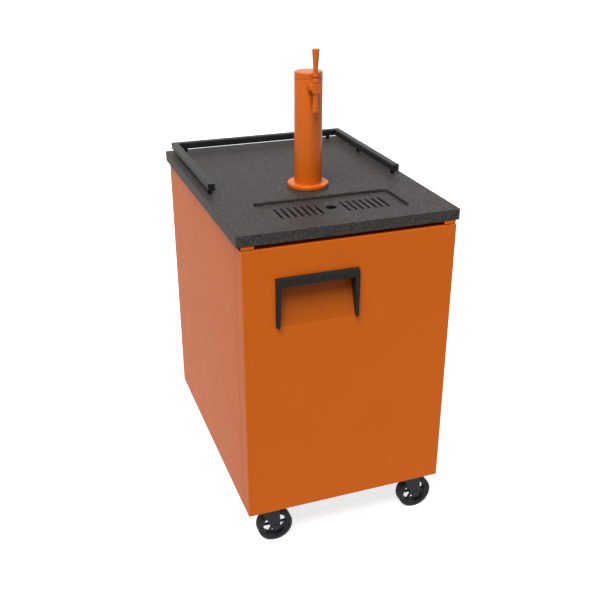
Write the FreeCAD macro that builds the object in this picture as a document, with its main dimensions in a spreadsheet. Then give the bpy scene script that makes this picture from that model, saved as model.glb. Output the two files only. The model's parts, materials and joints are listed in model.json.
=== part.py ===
import FreeCAD, Part
import math
import os

import Sketcher
from FreeCAD import Placement, Rotation, Vector

# Keg cooler with a beer tower, on four swivel casters. Millimetres, +Z up, +X to the user's right.
# The user stands on the -Y side. The origin is on the floor, under the middle of the whole object.

# Driving dimensions
DIMENSIONS = {
    # Worktop
    "counter_width": 600.0,
    "counter_depth": 807.0,
    "counter_edge": 29.0,
    "counter_sheet": 1.5,
    "counter_corner": 4.0,
    "counter_round": 1.4,
    "counter_overhang": 10.0,
    # Cabinet
    "cabinet_height": 799.0,
    "panel_sheet": 1.2,
    "panel_flange": 21.0,
    "base_sheet": 2.0,
    "vent_setback": 40.0,
    "vent_length": 90.0,
    "vent_width": 8.0,
    "vent_pitch": 30.0,
    "vent_count": 9.0,
    "wall_foam": 47.6,
    "floor_foam": 48.8,
    "top_foam": 45.0,
    "bulkhead_foam": 45.0,
    "liner_sheet": 1.2,
    "liner_corner": 6.0,
    "room_depth": 493.8,
    "breaker_thickness": 2.0,
    "part_gap": 0.3,
    "keg_plate": 2.0,
    "keg_plate_margin": 8.0,
    "grille_inset": 6.0,
    "grille_corner": 6.0,
    "louvre_foot": 40.0,
    "louvre_inset": 20.0,
    "louvre_length": 200.0,
    "louvre_gap": 10.0,
    "louvre_pitch": 20.0,
    "louvre_rows": 18.0,
    "louvre_reach": 5.6,
    "louvre_sheet": 1.2,
    # Door
    "door_proud": 3.0,
    "door_thickness": 55.0,
    "door_top_gap": 11.0,
    "door_seam": 2.0,
    "door_skin": 1.2,
    "door_foot": 8.0,
    "door_low_gap": 1.0,
    "door_inner_sheet": 2.0,
    "door_round": 1.5,
    "gasket_gap": 8.0,
    "gasket_clear": 0.4,
    "gasket_width": 18.0,
    "gasket_inset": 28.0,
    "gasket_overlap": 6.0,
    # Pull handle and the scoop behind it
    "handle_left": -205.0,
    "handle_width": 224.0,
    "handle_bottom": 574.0,
    "handle_height": 134.0,
    "handle_bar": 23.0,
    "handle_leg_top": 13.0,
    "handle_leg_foot": 8.5,
    "handle_proud": 10.0,
    "handle_bar_depth": 14.0,
    "handle_round": 7.0,
    "scoop_depth": 26.0,
    "scoop_flat": 22.0,
    "scoop_wall": 1.5,
    # Hinges
    "pivot_side": 16.0,
    "pivot_back": 18.0,
    "hinge_plate": 4.0,
    "hinge_width": 32.0,
    "hinge_lip": 9.0,
    "hinge_arm": 20.0,
    "hinge_pin_radius": 4.0,
    "hinge_pin_reach": 20.0,
    "bush_radius": 7.0,
    "running_fit": 0.05,
    # Drip tray
    "tray_half_width": 193.0,
    "tray_front": 72.0,
    "tray_depth": 150.0,
    "tray_recess": 8.0,
    "tray_corner": 15.0,
    "tray_round": 3.0,
    "tray_ledge": 8.0,
    "grate_sheet": 2.5,
    "grate_clear": 0.6,
    "pan_sheet": 1.2,
    "pan_drop": 15.0,
    "slot_pitch": 18.33,
    "slot_first": 37.0,
    "slot_count": 7.0,
    "slot_width": 7.0,
    "slot_length": 78.0,
    "slot_middle": 70.0,
    "finger_hole": 15.0,
    "drain_radius": 8.0,
    "drain_wall": 1.5,
    "drain_inset": 22.0,
    "drain_drop": 18.0,
    # Guard rail
    "rail_tube": 20.0,
    "rail_wall": 1.5,
    "rail_side_inset": 17.0,
    "rail_back_inset": 16.0,
    "rail_front": 330.0,
    "rail_lift": 10.0,
    "rail_cap": 2.0,
    "post_radius": 6.0,
    "post_end": 22.0,
    "post_shift": 33.0,
    "post_reach": 180.0,
    # Tower
    "tower_setback": 321.0,
    "tower_height": 312.0,
    "tower_radius": 38.0,
    "tower_wall": 1.6,
    "tower_cap_height": 17.0,
    "tower_cap_top": 4.0,
    "tower_spigot": 8.0,
    "flange_radius": 57.0,
    "flange_height": 12.0,
    "flange_round": 4.0,
    "gasket_sheet": 1.5,
    "line_hole": 30.0,
    # Faucet
    "shank_height": 276.0,
    "shank_radius": 8.0,
    "shank_bore": 6.2,
    "shank_nose": 3.5,
    "shank_tail": 52.0,
    "shank_nut_radius": 13.0,
    "shank_nut_height": 8.0,
    "collar_radius": 18.0,
    "collar_depth": 3.0,
    "nut_radius": 16.0,
    "nut_depth": 3.4,
    "nut_counterbore": 10.5,
    "nut_counterbore_depth": 1.2,
    "barrel_radius": 14.0,
    "barrel_depth": 16.4,
    "faucet_reach": 15.0,
    "plunger_radius": 5.9,
    "plunger_length": 12.0,
    "plunger_neck": 2.4,
    "plunger_groove": 3.0,
    "spout_radius": 6.8,
    "spout_ring_radius": 8.0,
    "spout_ring_height": 18.0,
    "spout_bottom": 215.0,
    "spout_bore": 4.5,
    "bonnet_radius": 8.5,
    "bonnet_top": 24.0,
    "bonnet_seat": 17.0,
    "bonnet_bore": 5.3,
    "bonnet_mouth": 6.5,
    "bonnet_boss": 7.0,
    "boss_rise": 0.8,
    "lever_pivot": 21.0,
    "lever_ball": 5.0,
    "lever_stem": 3.2,
    "lever_tail": 1.5,
    "lever_tip": 3.0,
    "lever_slot": 2.5,
    "tap_top": 376.0,
    "tap_foot": 30.0,
    "tap_socket": 13.0,
    "tap_waist": 58.0,
    "tap_chamfer": 1.5,
    "tap_foot_radius": 6.5,
    "tap_top_radius": 10.0,
    # Cooling
    "compressor_radius": 72.0,
    "compressor_height": 165.0,
    "compressor_side": 165.0,
    "coil_width": 250.0,
    "coil_height": 260.0,
    "coil_depth": 44.0,
    "coil_wall_gap": 18.8,
    "coil_fins": 20.0,
    "coil_back": 20.0,
    "coil_tube": 4.5,
    "fan_gap": 10.0,
    "fan_shaft": 3.0,
    "motor_radius": 38.0,
    "motor_length": 50.0,
    "pipe_radius": 4.0,
    "fan_radius": 104.0,
    "fan_hub": 26.0,
    "fan_depth": 24.0,
    "fan_sheet": 1.6,
    "fan_blades": 5.0,
    "cover_height": 220.0,
    "cover_depth": 60.0,
    "cover_drop": 22.0,
    "cover_sheet": 1.5,
    "cooler_fan_radius": 58.0,
    "cooler_fan_hub": 16.0,
    "cooler_fan_depth": 14.0,
    "cooler_fan_edge": 14.0,
    "cooler_fan_gap": 8.0,
    "cooler_motor_gap": 25.0,
    "cooler_motor_radius": 24.0,
    "cooler_coil_depth": 32.0,
    "cooler_coil_share": 0.55,
    "cooler_coil_fins": 16.0,
    "cooler_coil_gap": 8.0,
    "fan_slot": 8.0,
    "fan_slot_pitch": 16.0,
    "intake_inset": 24.0,
    "intake_slot": 9.0,
    "intake_margin": 30.0,
    "intake_pitch": 18.0,
    "intake_count": 11.0,
    # Thermostat between the cooler's cover and the liner's wall
    "dial_box_width": 36.0,
    "dial_box_height": 84.0,
    "dial_box_depth": 30.0,
    "dial_box_corner": 4.0,
    "dial_box_gap": 8.0,
    "dial_wall_gap": 6.0,
    "dial_box_drop": 20.0,
    "dial_drop": 26.0,
    "dial_shaft": 3.0,
    "dial_shaft_length": 12.0,
    "dial_radius": 13.0,
    "dial_depth": 16.0,
    "dial_seat": 0.5,
    "dial_chamfer": 1.0,
    "dial_end_gap": 0.5,
    "dial_flute": 1.6,
    "dial_flute_out": 0.6,
    "dial_flute_start": 0.4,
    "dial_flute_run": 18.0,
    "dial_flutes": 12.0,
    # Casters
    "caster_height": 130.0,
    "caster_inset": 68.0,
    "caster_front": 45.0,
    "caster_trail": 19.0,
    "wheel_radius": 51.0,
    "wheel_width": 32.0,
    "tyre_depth": 10.0,
    "rim_depth": 5.0,
    "hub_radius": 13.0,
    "web_thickness": 7.0,
    "spoke_width": 5.0,
    "spokes": 6.0,
    "axle_radius": 5.0,
    "axle_head": 4.0,
    "axle_head_radius": 8.5,
    "leg_sheet": 3.5,
    "leg_clear": 3.0,
    "plate_length": 92.0,
    "plate_nose": 30.0,
    "plate_tail": 98.0,
    "plate_first_bolt": 32.0,
    "plate_edge": 12.0,
    "plate_sheet": 4.0,
    "plate_hole": 4.5,
    "kingpin_radius": 6.0,
    "race_radius": 24.0,
    "race_gap": 1.0,
}

doc = FreeCAD.newDocument("Kegerator")
sheet = doc.addObject("Spreadsheet::Sheet", "Dims")
for row, (alias, amount) in enumerate(DIMENSIONS.items(), start=1):
    sheet.set(f"A{row}", alias)
    sheet.set(f"B{row}", str(amount))
    sheet.setAlias(f"B{row}", alias)
doc.recompute()

FAN_SLOTS = 6
nodes = {}


class Size:
    """A length that carries its value and the sheet expression that it comes from."""

    def __init__(self, value, text):
        self.value = value
        self.text = text

    def __add__(self, other):
        other = as_size(other)
        return Size(self.value + other.value, f"({self.text} + {other.text})")

    def __sub__(self, other):
        other = as_size(other)
        return Size(self.value - other.value, f"({self.text} - {other.text})")

    def __mul__(self, other):
        other = as_size(other)
        return Size(self.value * other.value, f"({self.text} * {other.text})")

    def __truediv__(self, other):
        other = as_size(other)
        return Size(self.value / other.value, f"({self.text} / {other.text})")

    def __neg__(self):
        return Size(-self.value, f"(0 - {self.text})")

    def __radd__(self, other):
        return as_size(other) + self

    def __rsub__(self, other):
        return as_size(other) - self

    def __rmul__(self, other):
        return as_size(other) * self

    def __rtruediv__(self, other):
        return as_size(other) / self

    def root(self):
        return Size(math.sqrt(self.value), f"sqrt({self.text})")


class Sheet:
    """Gives each cell of the sheet as a Size, by its alias."""

    def __getattr__(self, alias):
        return Size(DIMENSIONS[alias], f"Dims.{alias}")


def as_size(amount):
    if isinstance(amount, Size):
        return amount
    return Size(float(amount), repr(float(amount)))


def plain(amount):
    return as_size(amount).value


def bind(item, path, amount):
    item.setExpression(path, as_size(amount).text)


def place(item, x=0.0, y=0.0, z=0.0, turn=None):
    """Puts an object at a point that follows the sheet, turned by a fixed rotation."""
    item.Placement = Placement(Vector(plain(x), plain(y), plain(z)), turn or Rotation())
    for axis, amount in (("x", x), ("y", y), ("z", z)):
        if isinstance(amount, Size):
            bind(item, f"Placement.Base.{axis}", amount)
    return item


def new_body(label):
    item = doc.addObject("PartDesign::Body", label)
    item.Label = label
    return item


def keep(item, label):
    """Counts an object as one of the pieces, under the name of its file."""
    item.Label = label
    nodes[label] = item
    return item


def origin_feature(item, role):
    return next(feature for feature in item.Origin.OriginFeatures if feature.Role == role)


def sketch_on(item, role, offset=0.0):
    """A sketch parallel to an origin plane. XZ sketches look along +Y, so their offset runs to -Y."""
    sketch = item.newObject("Sketcher::SketchObject", "Sketch")
    sketch.AttachmentSupport = [(origin_feature(item, role), "")]
    sketch.MapMode = "FlatFace"
    sketch.AttachmentOffset = Placement(Vector(0, 0, plain(offset)), Rotation())
    if isinstance(offset, Size):
        bind(sketch, "AttachmentOffset.Base.z", offset)
    return sketch


def limit(sketch, constraint, amount):
    index = sketch.addConstraint(constraint)
    if isinstance(amount, Size):
        bind(sketch, f"Constraints[{index}]", amount)


def hold(sketch, geometry, end, point):
    """Holds one end of a line, or a centre, at its distances from the sketch origin."""
    for kind, amount, axis in (("DistanceX", point[0], -2), ("DistanceY", point[1], -1)):
        if abs(plain(amount)) < 1e-9:
            sketch.addConstraint(Sketcher.Constraint("PointOnObject", geometry, end, axis))
        else:
            limit(sketch, Sketcher.Constraint(kind, -1, 1, geometry, end, plain(amount)), amount)


def polygon(sketch, points):
    """A closed run of lines through the points."""
    first = sketch.GeometryCount
    count = len(points)
    corners = [Vector(plain(u), plain(v), 0) for u, v in points]
    for index in range(count):
        sketch.addGeometry(Part.LineSegment(corners[index], corners[(index + 1) % count]), False)
    for index in range(count):
        after = first + (index + 1) % count
        sketch.addConstraint(Sketcher.Constraint("Coincident", first + index, 2, after, 1))
    for index, point in enumerate(points):
        hold(sketch, first + index, 1, point)


def rectangle(sketch, left, bottom, right, top):
    polygon(sketch, [(left, bottom), (right, bottom), (right, top), (left, top)])


def circle(sketch, centre, radius):
    middle = Vector(plain(centre[0]), plain(centre[1]), 0)
    geometry = sketch.addGeometry(Part.Circle(middle, Vector(0, 0, 1), plain(radius)), False)
    hold(sketch, geometry, 3, centre)
    limit(sketch, Sketcher.Constraint("Radius", geometry, plain(radius)), radius)


def hexagon(radius):
    """Corners of a regular hexagon round the origin."""
    turns = [math.radians(60 * step + 30) for step in range(6)]
    return [(radius * math.cos(turn), radius * math.sin(turn)) for turn in turns]


def rounded(sketch, left, bottom, right, top, radius):
    """A rectangle with round corners: four lines and four tangent arcs."""
    x0, y0, x1, y1, r = (plain(amount) for amount in (left, bottom, right, top, radius))
    lines = [
        ((x0 + r, y0), (x1 - r, y0)),
        ((x1, y0 + r), (x1, y1 - r)),
        ((x1 - r, y1), (x0 + r, y1)),
        ((x0, y1 - r), (x0, y0 + r)),
    ]
    centres = [(x1 - r, y0 + r), (x1 - r, y1 - r), (x0 + r, y1 - r), (x0 + r, y0 + r)]
    first = sketch.GeometryCount
    for index, ((ax, ay), (bx, by)) in enumerate(lines):
        sketch.addGeometry(Part.LineSegment(Vector(ax, ay, 0), Vector(bx, by, 0)), False)
        middle = Part.Circle(Vector(*centres[index], 0), Vector(0, 0, 1), r)
        start = math.pi / 2 * (index - 1)
        sketch.addGeometry(Part.ArcOfCircle(middle, start, start + math.pi / 2), False)
    for index in range(4):
        line = first + 2 * index
        arc = line + 1
        following = first + (2 * index + 2) % 8
        sketch.addConstraint(Sketcher.Constraint("Tangent", line, 2, arc, 1))
        sketch.addConstraint(Sketcher.Constraint("Tangent", arc, 2, following, 1))
        level = "Horizontal" if index % 2 == 0 else "Vertical"
        sketch.addConstraint(Sketcher.Constraint(level, line))
        if index:
            sketch.addConstraint(Sketcher.Constraint("Equal", first + 1, arc))
    limit(sketch, Sketcher.Constraint("Radius", first + 1, r), radius)
    sides = (("DistanceY", y0, bottom), ("DistanceX", x1, right), ("DistanceY", y1, top), ("DistanceX", x0, left))
    for index, (kind, amount, size) in enumerate(sides):
        limit(sketch, Sketcher.Constraint(kind, -1, 1, first + 2 * index, 1, amount), size)


def pad(item, sketch, length, back=False):
    feature = item.newObject("PartDesign::Pad", "Pad")
    feature.Profile = sketch
    bind(feature, "Length", length)
    feature.Reversed = back
    return feature


def pocket(item, sketch, length=None, back=False):
    """Cuts against the sketch's normal, or along it with back, and checks that it did cut."""
    doc.recompute()
    before = item.Shape.Volume
    feature = item.newObject("PartDesign::Pocket", "Pocket")
    feature.Profile = sketch
    feature.Reversed = back
    if length is None:
        feature.Type = "ThroughAll"
    else:
        bind(feature, "Length", length)
    doc.recompute()
    if item.Shape.Volume > before - 0.01:
        raise RuntimeError(f"a pocket of {item.Label} cuts nothing")
    return feature


def revolve(item, sketch, axis="V_Axis"):
    feature = item.newObject("PartDesign::Revolution", "Revolution")
    feature.Profile = sketch
    feature.ReferenceAxis = (sketch, [axis])
    feature.Angle = 360.0
    return feature


def ring_pattern(item, feature, role, count):
    pattern = item.newObject("PartDesign::PolarPattern", "PolarPattern")
    pattern.Originals = [feature]
    pattern.Axis = (origin_feature(item, role), [""])
    pattern.Angle = 360.0
    bind(pattern, "Occurrences", count)
    item.Tip = pattern
    return pattern


def row_pattern(item, feature, role, length, count):
    pattern = item.newObject("PartDesign::LinearPattern", "LinearPattern")
    pattern.Originals = [feature]
    pattern.Direction = (origin_feature(item, role), [""])
    bind(pattern, "Length", length)
    bind(pattern, "Occurrences", count)
    item.Tip = pattern
    return pattern


def fillet(item, radius, wanted):
    """Rounds the edges of the body that the test picks by their bounding box."""
    doc.recompute()
    base = item.Tip
    names = [f"Edge{n}" for n, edge in enumerate(base.Shape.Edges, start=1) if wanted(edge)]
    if not names:
        raise RuntimeError(f"no edge of {item.Label} to round")
    feature = item.newObject("PartDesign::Fillet", "Fillet")
    feature.Base = (base, names)
    bind(feature, "Radius", radius)
    return feature


def near(amount, target, slack=0.01):
    return abs(amount - plain(target)) < slack


def level_edge(height):
    """Picks edges that lie flat at a height."""
    return lambda edge: near(edge.BoundBox.ZMin, height) and near(edge.BoundBox.ZMax, height)


def upright_edge(edge):
    box = edge.BoundBox
    return box.ZLength > 0.1 and box.XLength < 0.01 and box.YLength < 0.01


def block(name, x0, x1, y0, y1, z0, z1):
    item = doc.addObject("Part::Box", name)
    bind(item, "Length", as_size(x1) - x0)
    bind(item, "Width", as_size(y1) - y0)
    bind(item, "Height", as_size(z1) - z0)
    return place(item, x0, y0, z0)


TURNS = {
    "x": Rotation(Vector(0, 1, 0), 90),
    "y": Rotation(Vector(1, 0, 0), -90),
    "z": Rotation(),
}


def rod(name, radius, length, x, y, z, along="z"):
    item = doc.addObject("Part::Cylinder", name)
    bind(item, "Radius", radius)
    bind(item, "Height", length)
    return place(item, x, y, z, TURNS[along])


def cut(name, base, tool):
    item = doc.addObject("Part::Cut", name)
    item.Base = base
    item.Tool = tool
    return item


def join(name, pieces):
    item = doc.addObject("Part::MultiFuse", name)
    item.Shapes = pieces
    return item


def group(name, pieces):
    item = doc.addObject("Part::Compound", name)
    item.Links = pieces
    return item


def bent_tube(points, bend, radius, bore=0.0):
    """A round tube along straight runs that tangent arcs join."""
    corners = [Vector(*(plain(amount) for amount in point)) for point in points]
    edges = []
    start = corners[0]
    for before, corner, after in zip(corners, corners[1:], corners[2:]):
        inward = (before - corner).normalize()
        outward = (after - corner).normalize()
        half = inward.getAngle(outward) / 2
        reach = bend / math.tan(half)
        middle = corner + (inward + outward).normalize() * (bend / math.sin(half) - bend)
        arc_start = corner + inward * reach
        arc_end = corner + outward * reach
        edges.append(Part.LineSegment(start, arc_start).toShape())
        edges.append(Part.Arc(arc_start, middle, arc_end).toShape())
        start = arc_end
    edges.append(Part.LineSegment(start, corners[-1]).toShape())
    path = Part.Wire(edges)
    direction = corners[1] - corners[0]
    shapes = []
    for size in (radius, bore):
        if size:
            section = Part.Wire(Part.Circle(corners[0], direction, size).toShape())
            shapes.append(path.makePipeShell([section], True, False))
    return shapes[0].cut(shapes[1]) if bore else shapes[0]


d = Sheet()

# Places that several pieces share
half_width = d.counter_width / 2 - d.counter_overhang
base_z = d.caster_height
under_z = base_z + d.cabinet_height
top_z = under_z + d.counter_edge
front_y = (d.door_proud + d.handle_proud - d.counter_depth) / 2
rear_y = front_y + d.counter_depth
back_y = rear_y - d.counter_overhang
door_front = front_y - d.door_proud
door_back = door_front + d.door_thickness
door_top = under_z - d.door_top_gap
land_y = door_back + d.gasket_gap
flange_y = land_y + d.breaker_thickness
skin_x = half_width - d.panel_sheet
room_x = skin_x - d.wall_foam - d.liner_sheet
coil_x = skin_x - d.coil_wall_gap - d.coil_width / 2
floor_z = base_z + d.base_sheet + d.floor_foam + d.liner_sheet
ceiling_z = under_z - d.top_foam - d.liner_sheet
room_y = flange_y + d.room_depth
bulkhead_y = room_y + d.liner_sheet + d.bulkhead_foam
tower_y = front_y + d.tower_setback
tray_y0 = front_y + d.tray_front
tray_y1 = tray_y0 + d.tray_depth
ledge_z = top_z - d.tray_recess - d.grate_sheet - d.pan_sheet
drain_x = d.drain_inset - d.tray_half_width
drain_y = (tray_y0 + tray_y1) / 2
hose_x = d.drain_radius * 1.75 - room_x
cover_y = room_y - d.cover_depth
cover_half = room_x - d.dial_wall_gap - d.dial_box_width - d.dial_box_gap
cover_top = ceiling_z - d.cover_drop
cover_low = cover_top - d.cover_height
cooler_z = cover_low + d.cover_height / 2
pipe_x = -d.compressor_side + 30
pipe_z = cover_low + d.cover_height / 4


def side_panel(label, side):
    """Folded steel side: flat outer sheet, a lip round the door and turned-in front and rear flanges."""
    sheet_x = d.panel_sheet
    outer = half_width * side
    inner = skin_x * side
    tip = (half_width - d.panel_flange) * side
    item = new_body(label)
    sketch = sketch_on(item, "XY_Plane", base_z)
    points = [
        (outer, door_back + d.door_seam),
        (outer, back_y),
        (tip, back_y),
        (tip, back_y - sheet_x),
        (inner, back_y - sheet_x),
        (inner, flange_y + sheet_x),
        (tip, flange_y + sheet_x),
        (tip, flange_y),
        (inner, flange_y),
        (inner, door_back + d.door_seam),
    ]
    polygon(sketch, points)
    pad(item, sketch, d.cabinet_height)
    keep(item, label)


def cabinet_foam():
    """Foam boards round the keg room, with the tower and drain holes through the top one."""
    front = flange_y + d.panel_sheet
    low = base_z + d.base_sheet
    outer = room_x + d.liner_sheet
    ceiling = ceiling_z + d.liner_sheet
    floor = floor_z - d.liner_sheet
    left = block("FoamLeft", -skin_x, -outer, front, bulkhead_y, low, under_z)
    right = block("FoamRight", outer, skin_x, front, bulkhead_y, low, under_z)
    bottom = block("FoamFloor", -outer, outer, front, bulkhead_y, low, floor)
    rear = block("FoamRear", -outer, outer, room_y + d.liner_sheet, bulkhead_y, floor, ceiling)
    top = block("FoamTop", -outer, outer, front, bulkhead_y, ceiling, under_z)
    line = rod("FoamLineHole", d.line_hole, d.top_foam, 0, tower_y, ceiling)
    drain = rod("FoamDrainHole", d.drain_radius + d.part_gap, d.top_foam, drain_x, drain_y, ceiling)
    waste = rod("FoamWasteHole", d.drain_radius + d.part_gap, d.floor_foam, hose_x, drain_y, low)
    pipe = rod("FoamPipeHole", d.pipe_radius + d.part_gap, d.bulkhead_foam, pipe_x, room_y + d.liner_sheet, pipe_z, "y")
    rear = cut("FoamRearDrilled", rear, pipe)
    top = cut("FoamTopDrilled", cut("FoamTopHole", top, line), drain)
    bottom = cut("FoamFloorDrilled", bottom, waste)
    keep(group("foam_boards", [left, right, bottom, rear, top]), "foam_boards")


def keg_liner():
    """Five-sided liner of the keg room, open to the front."""
    outer = room_x + d.liner_sheet
    item = new_body("keg_liner")
    sketch = sketch_on(item, "XZ_Plane", -flange_y)
    rectangle(sketch, -outer, floor_z - d.liner_sheet, outer, ceiling_z + d.liner_sheet)
    pad(item, sketch, d.room_depth + d.liner_sheet, back=True)
    sketch = sketch_on(item, "XZ_Plane", -flange_y)
    rounded(sketch, -room_x, floor_z, room_x, ceiling_z, d.liner_corner)
    pocket(item, sketch, d.room_depth, back=False)
    sketch = sketch_on(item, "XY_Plane", ceiling_z)
    circle(sketch, (0, tower_y), d.line_hole)
    circle(sketch, (drain_x, drain_y), d.drain_radius + d.part_gap)
    pocket(item, sketch, d.liner_sheet, back=True)
    sketch = sketch_on(item, "XY_Plane", floor_z)
    circle(sketch, (hose_x, drain_y), d.drain_radius + d.part_gap)
    pocket(item, sketch, d.liner_sheet)
    sketch = sketch_on(item, "XZ_Plane", -room_y)
    circle(sketch, (pipe_x, pipe_z), d.pipe_radius + d.part_gap)
    pocket(item, sketch, d.liner_sheet)
    keep(item, "keg_liner")


def breaker_frame():
    """Flat plastic frame between the cold liner and the outer sheet, where the gasket lands."""
    edge = skin_x - d.part_gap
    item = new_body("breaker_frame")
    sketch = sketch_on(item, "XZ_Plane", -land_y)
    rectangle(sketch, -edge, base_z, edge, under_z)
    rounded(sketch, -room_x, floor_z, room_x, ceiling_z, d.liner_corner)
    pad(item, sketch, d.breaker_thickness, back=True)
    keep(item, "breaker_frame")


def keg_floor_plate():
    """Stainless plate that the keg stands on."""
    margin = d.keg_plate_margin
    item = new_body("keg_floor_plate")
    sketch = sketch_on(item, "XY_Plane", floor_z)
    edge = room_x - margin - d.drain_radius * 2
    rounded(sketch, -edge, flange_y + margin, edge, room_y - margin, margin)
    pad(item, sketch, d.keg_plate)
    keep(item, "keg_floor_plate")


def caster_points():
    """Swivel axes of the four casters: name, x, y and the way to the cabinet's middle along Y."""
    x = half_width - d.caster_inset
    near_y = front_y + d.caster_front
    far_y = rear_y - d.caster_front
    return [
        ("front_left", -x, near_y, 1),
        ("front_right", x, near_y, 1),
        ("rear_left", -x, far_y, -1),
        ("rear_right", x, far_y, -1),
    ]


def bolt_points(x, y, inward):
    """Centres of the four bolts that hold one caster plate, on its side towards the cabinet's middle."""
    reach_x = d.plate_length / 2 - d.plate_edge
    reaches_y = (d.plate_first_bolt, d.plate_tail - d.plate_edge)
    return [(x + reach_x * i, y + reach * inward) for i in (-1, 1) for reach in reaches_y]


def base_pan():
    """Steel floor of the cabinet, drilled for the caster bolts and slotted under the compressor."""
    item = new_body("base_pan")
    sketch = sketch_on(item, "XY_Plane", base_z)
    rectangle(sketch, -skin_x, flange_y + d.panel_sheet, skin_x, back_y - d.panel_sheet)
    pad(item, sketch, d.base_sheet)
    sketch = sketch_on(item, "XY_Plane", base_z)
    circle(sketch, (hose_x, drain_y), d.drain_radius + d.part_gap)
    for _, x, y, inward in caster_points():
        for centre in bolt_points(x, y, inward):
            circle(sketch, centre, d.plate_hole)
    pocket(item, sketch, d.base_sheet, back=True)
    sketch = sketch_on(item, "XY_Plane", base_z)
    near_y = bulkhead_y + d.vent_setback
    reach = d.vent_pitch * (d.vent_count - 1) / 2
    rectangle(sketch, -reach - d.vent_width / 2, near_y, d.vent_width / 2 - reach, near_y + d.vent_length)
    vent = pocket(item, sketch, d.base_sheet, back=True)
    row_pattern(item, vent, "X_Axis", reach * 2, d.vent_count)
    keep(item, "base_pan")


def rear_grille():
    """Removable rear cover of the machine room, with two fields of pressed louvres."""
    edge = half_width - d.grille_inset
    face = back_y + d.panel_sheet
    item = new_body("rear_grille")
    sketch = sketch_on(item, "XZ_Plane", -back_y)
    rounded(sketch, -edge, base_z + d.grille_inset, edge, under_z - d.grille_inset, d.grille_corner)
    pad(item, sketch, d.panel_sheet, back=True)
    low = base_z + d.louvre_foot
    rise = d.louvre_pitch * (d.louvre_rows - 1)
    for left in (-d.louvre_inset - d.louvre_length, d.louvre_inset):
        sketch = sketch_on(item, "XZ_Plane", -face)
        inset = d.louvre_sheet
        rectangle(sketch, left + inset, low, left + d.louvre_length - inset, low + d.louvre_gap)
        opening = pocket(item, sketch, d.panel_sheet, back=True)
        row_pattern(item, opening, "Z_Axis", rise, d.louvre_rows)
    for left in (-d.louvre_inset - d.louvre_length, d.louvre_inset):
        hood = sketch_on(item, "YZ_Plane", left)
        root = low + d.louvre_gap + 1
        tip = low + 2
        points = [
            (face, root),
            (face, root - d.louvre_sheet * 1.5),
            (face + d.louvre_reach - d.louvre_sheet, tip),
            (face + d.louvre_reach, tip),
        ]
        polygon(hood, points)
        brow = pad(item, hood, d.louvre_length)
        row_pattern(item, brow, "Z_Axis", rise, d.louvre_rows)
    keep(item, "rear_grille")


def countertop():
    """Folded steel worktop with a pressed drip recess and a ledge for the tray."""
    half = d.counter_width / 2
    skin = d.counter_sheet
    tray = d.tray_half_width
    item = new_body("countertop")
    sketch = sketch_on(item, "XY_Plane", under_z)
    rounded(sketch, -half, front_y, half, rear_y, d.counter_corner)
    pad(item, sketch, d.counter_edge)
    fillet(item, d.counter_round, level_edge(top_z))
    sketch = sketch_on(item, "XY_Plane", under_z)
    inner = d.counter_corner - skin
    rounded(sketch, skin - half, front_y + skin, half - skin, rear_y - skin, inner)
    wall = d.tray_corner + skin
    rounded(sketch, -tray - skin, tray_y0 - skin, tray + skin, tray_y1 + skin, wall)
    pocket(item, sketch, d.counter_edge - skin, back=True)
    sketch = sketch_on(item, "XY_Plane", under_z)
    rounded(sketch, -tray - skin, tray_y0 - skin, tray + skin, tray_y1 + skin, wall)
    pocket(item, sketch, ledge_z - skin - under_z, back=True)
    sketch = sketch_on(item, "XY_Plane", top_z)
    rounded(sketch, -tray, tray_y0, tray, tray_y1, d.tray_corner)
    pocket(item, sketch, top_z - ledge_z)
    brim = lambda edge: level_edge(top_z)(edge) and edge.BoundBox.YMin > plain(tray_y0) - 1 \
        and edge.BoundBox.YMax < plain(tray_y1) + 1
    fillet(item, d.tray_round, brim)
    sketch = sketch_on(item, "XY_Plane", top_z)
    ledge = d.tray_ledge
    rounded(sketch, ledge - tray, tray_y0 + ledge, tray - ledge, tray_y1 - ledge, d.tray_corner - ledge)
    pocket(item, sketch)
    sketch = sketch_on(item, "XY_Plane", top_z)
    circle(sketch, (0, tower_y), d.line_hole)
    pocket(item, sketch)
    keep(item, "countertop")


def counter_core():
    """Board that fills the folded worktop, cut away for the tray and the tower."""
    half = d.counter_width / 2 - d.counter_sheet
    wall = d.counter_sheet + 1
    tray = d.tray_half_width + wall
    item = new_body("counter_core")
    sketch = sketch_on(item, "XY_Plane", under_z)
    inner = d.counter_corner - d.counter_sheet
    rounded(sketch, -half, front_y + d.counter_sheet, half, rear_y - d.counter_sheet, inner)
    rounded(sketch, -tray, tray_y0 - wall, tray, tray_y1 + wall, d.tray_corner + wall)
    circle(sketch, (0, tower_y), d.line_hole)
    pad(item, sketch, d.counter_edge - d.counter_sheet)
    keep(item, "counter_core")


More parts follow.
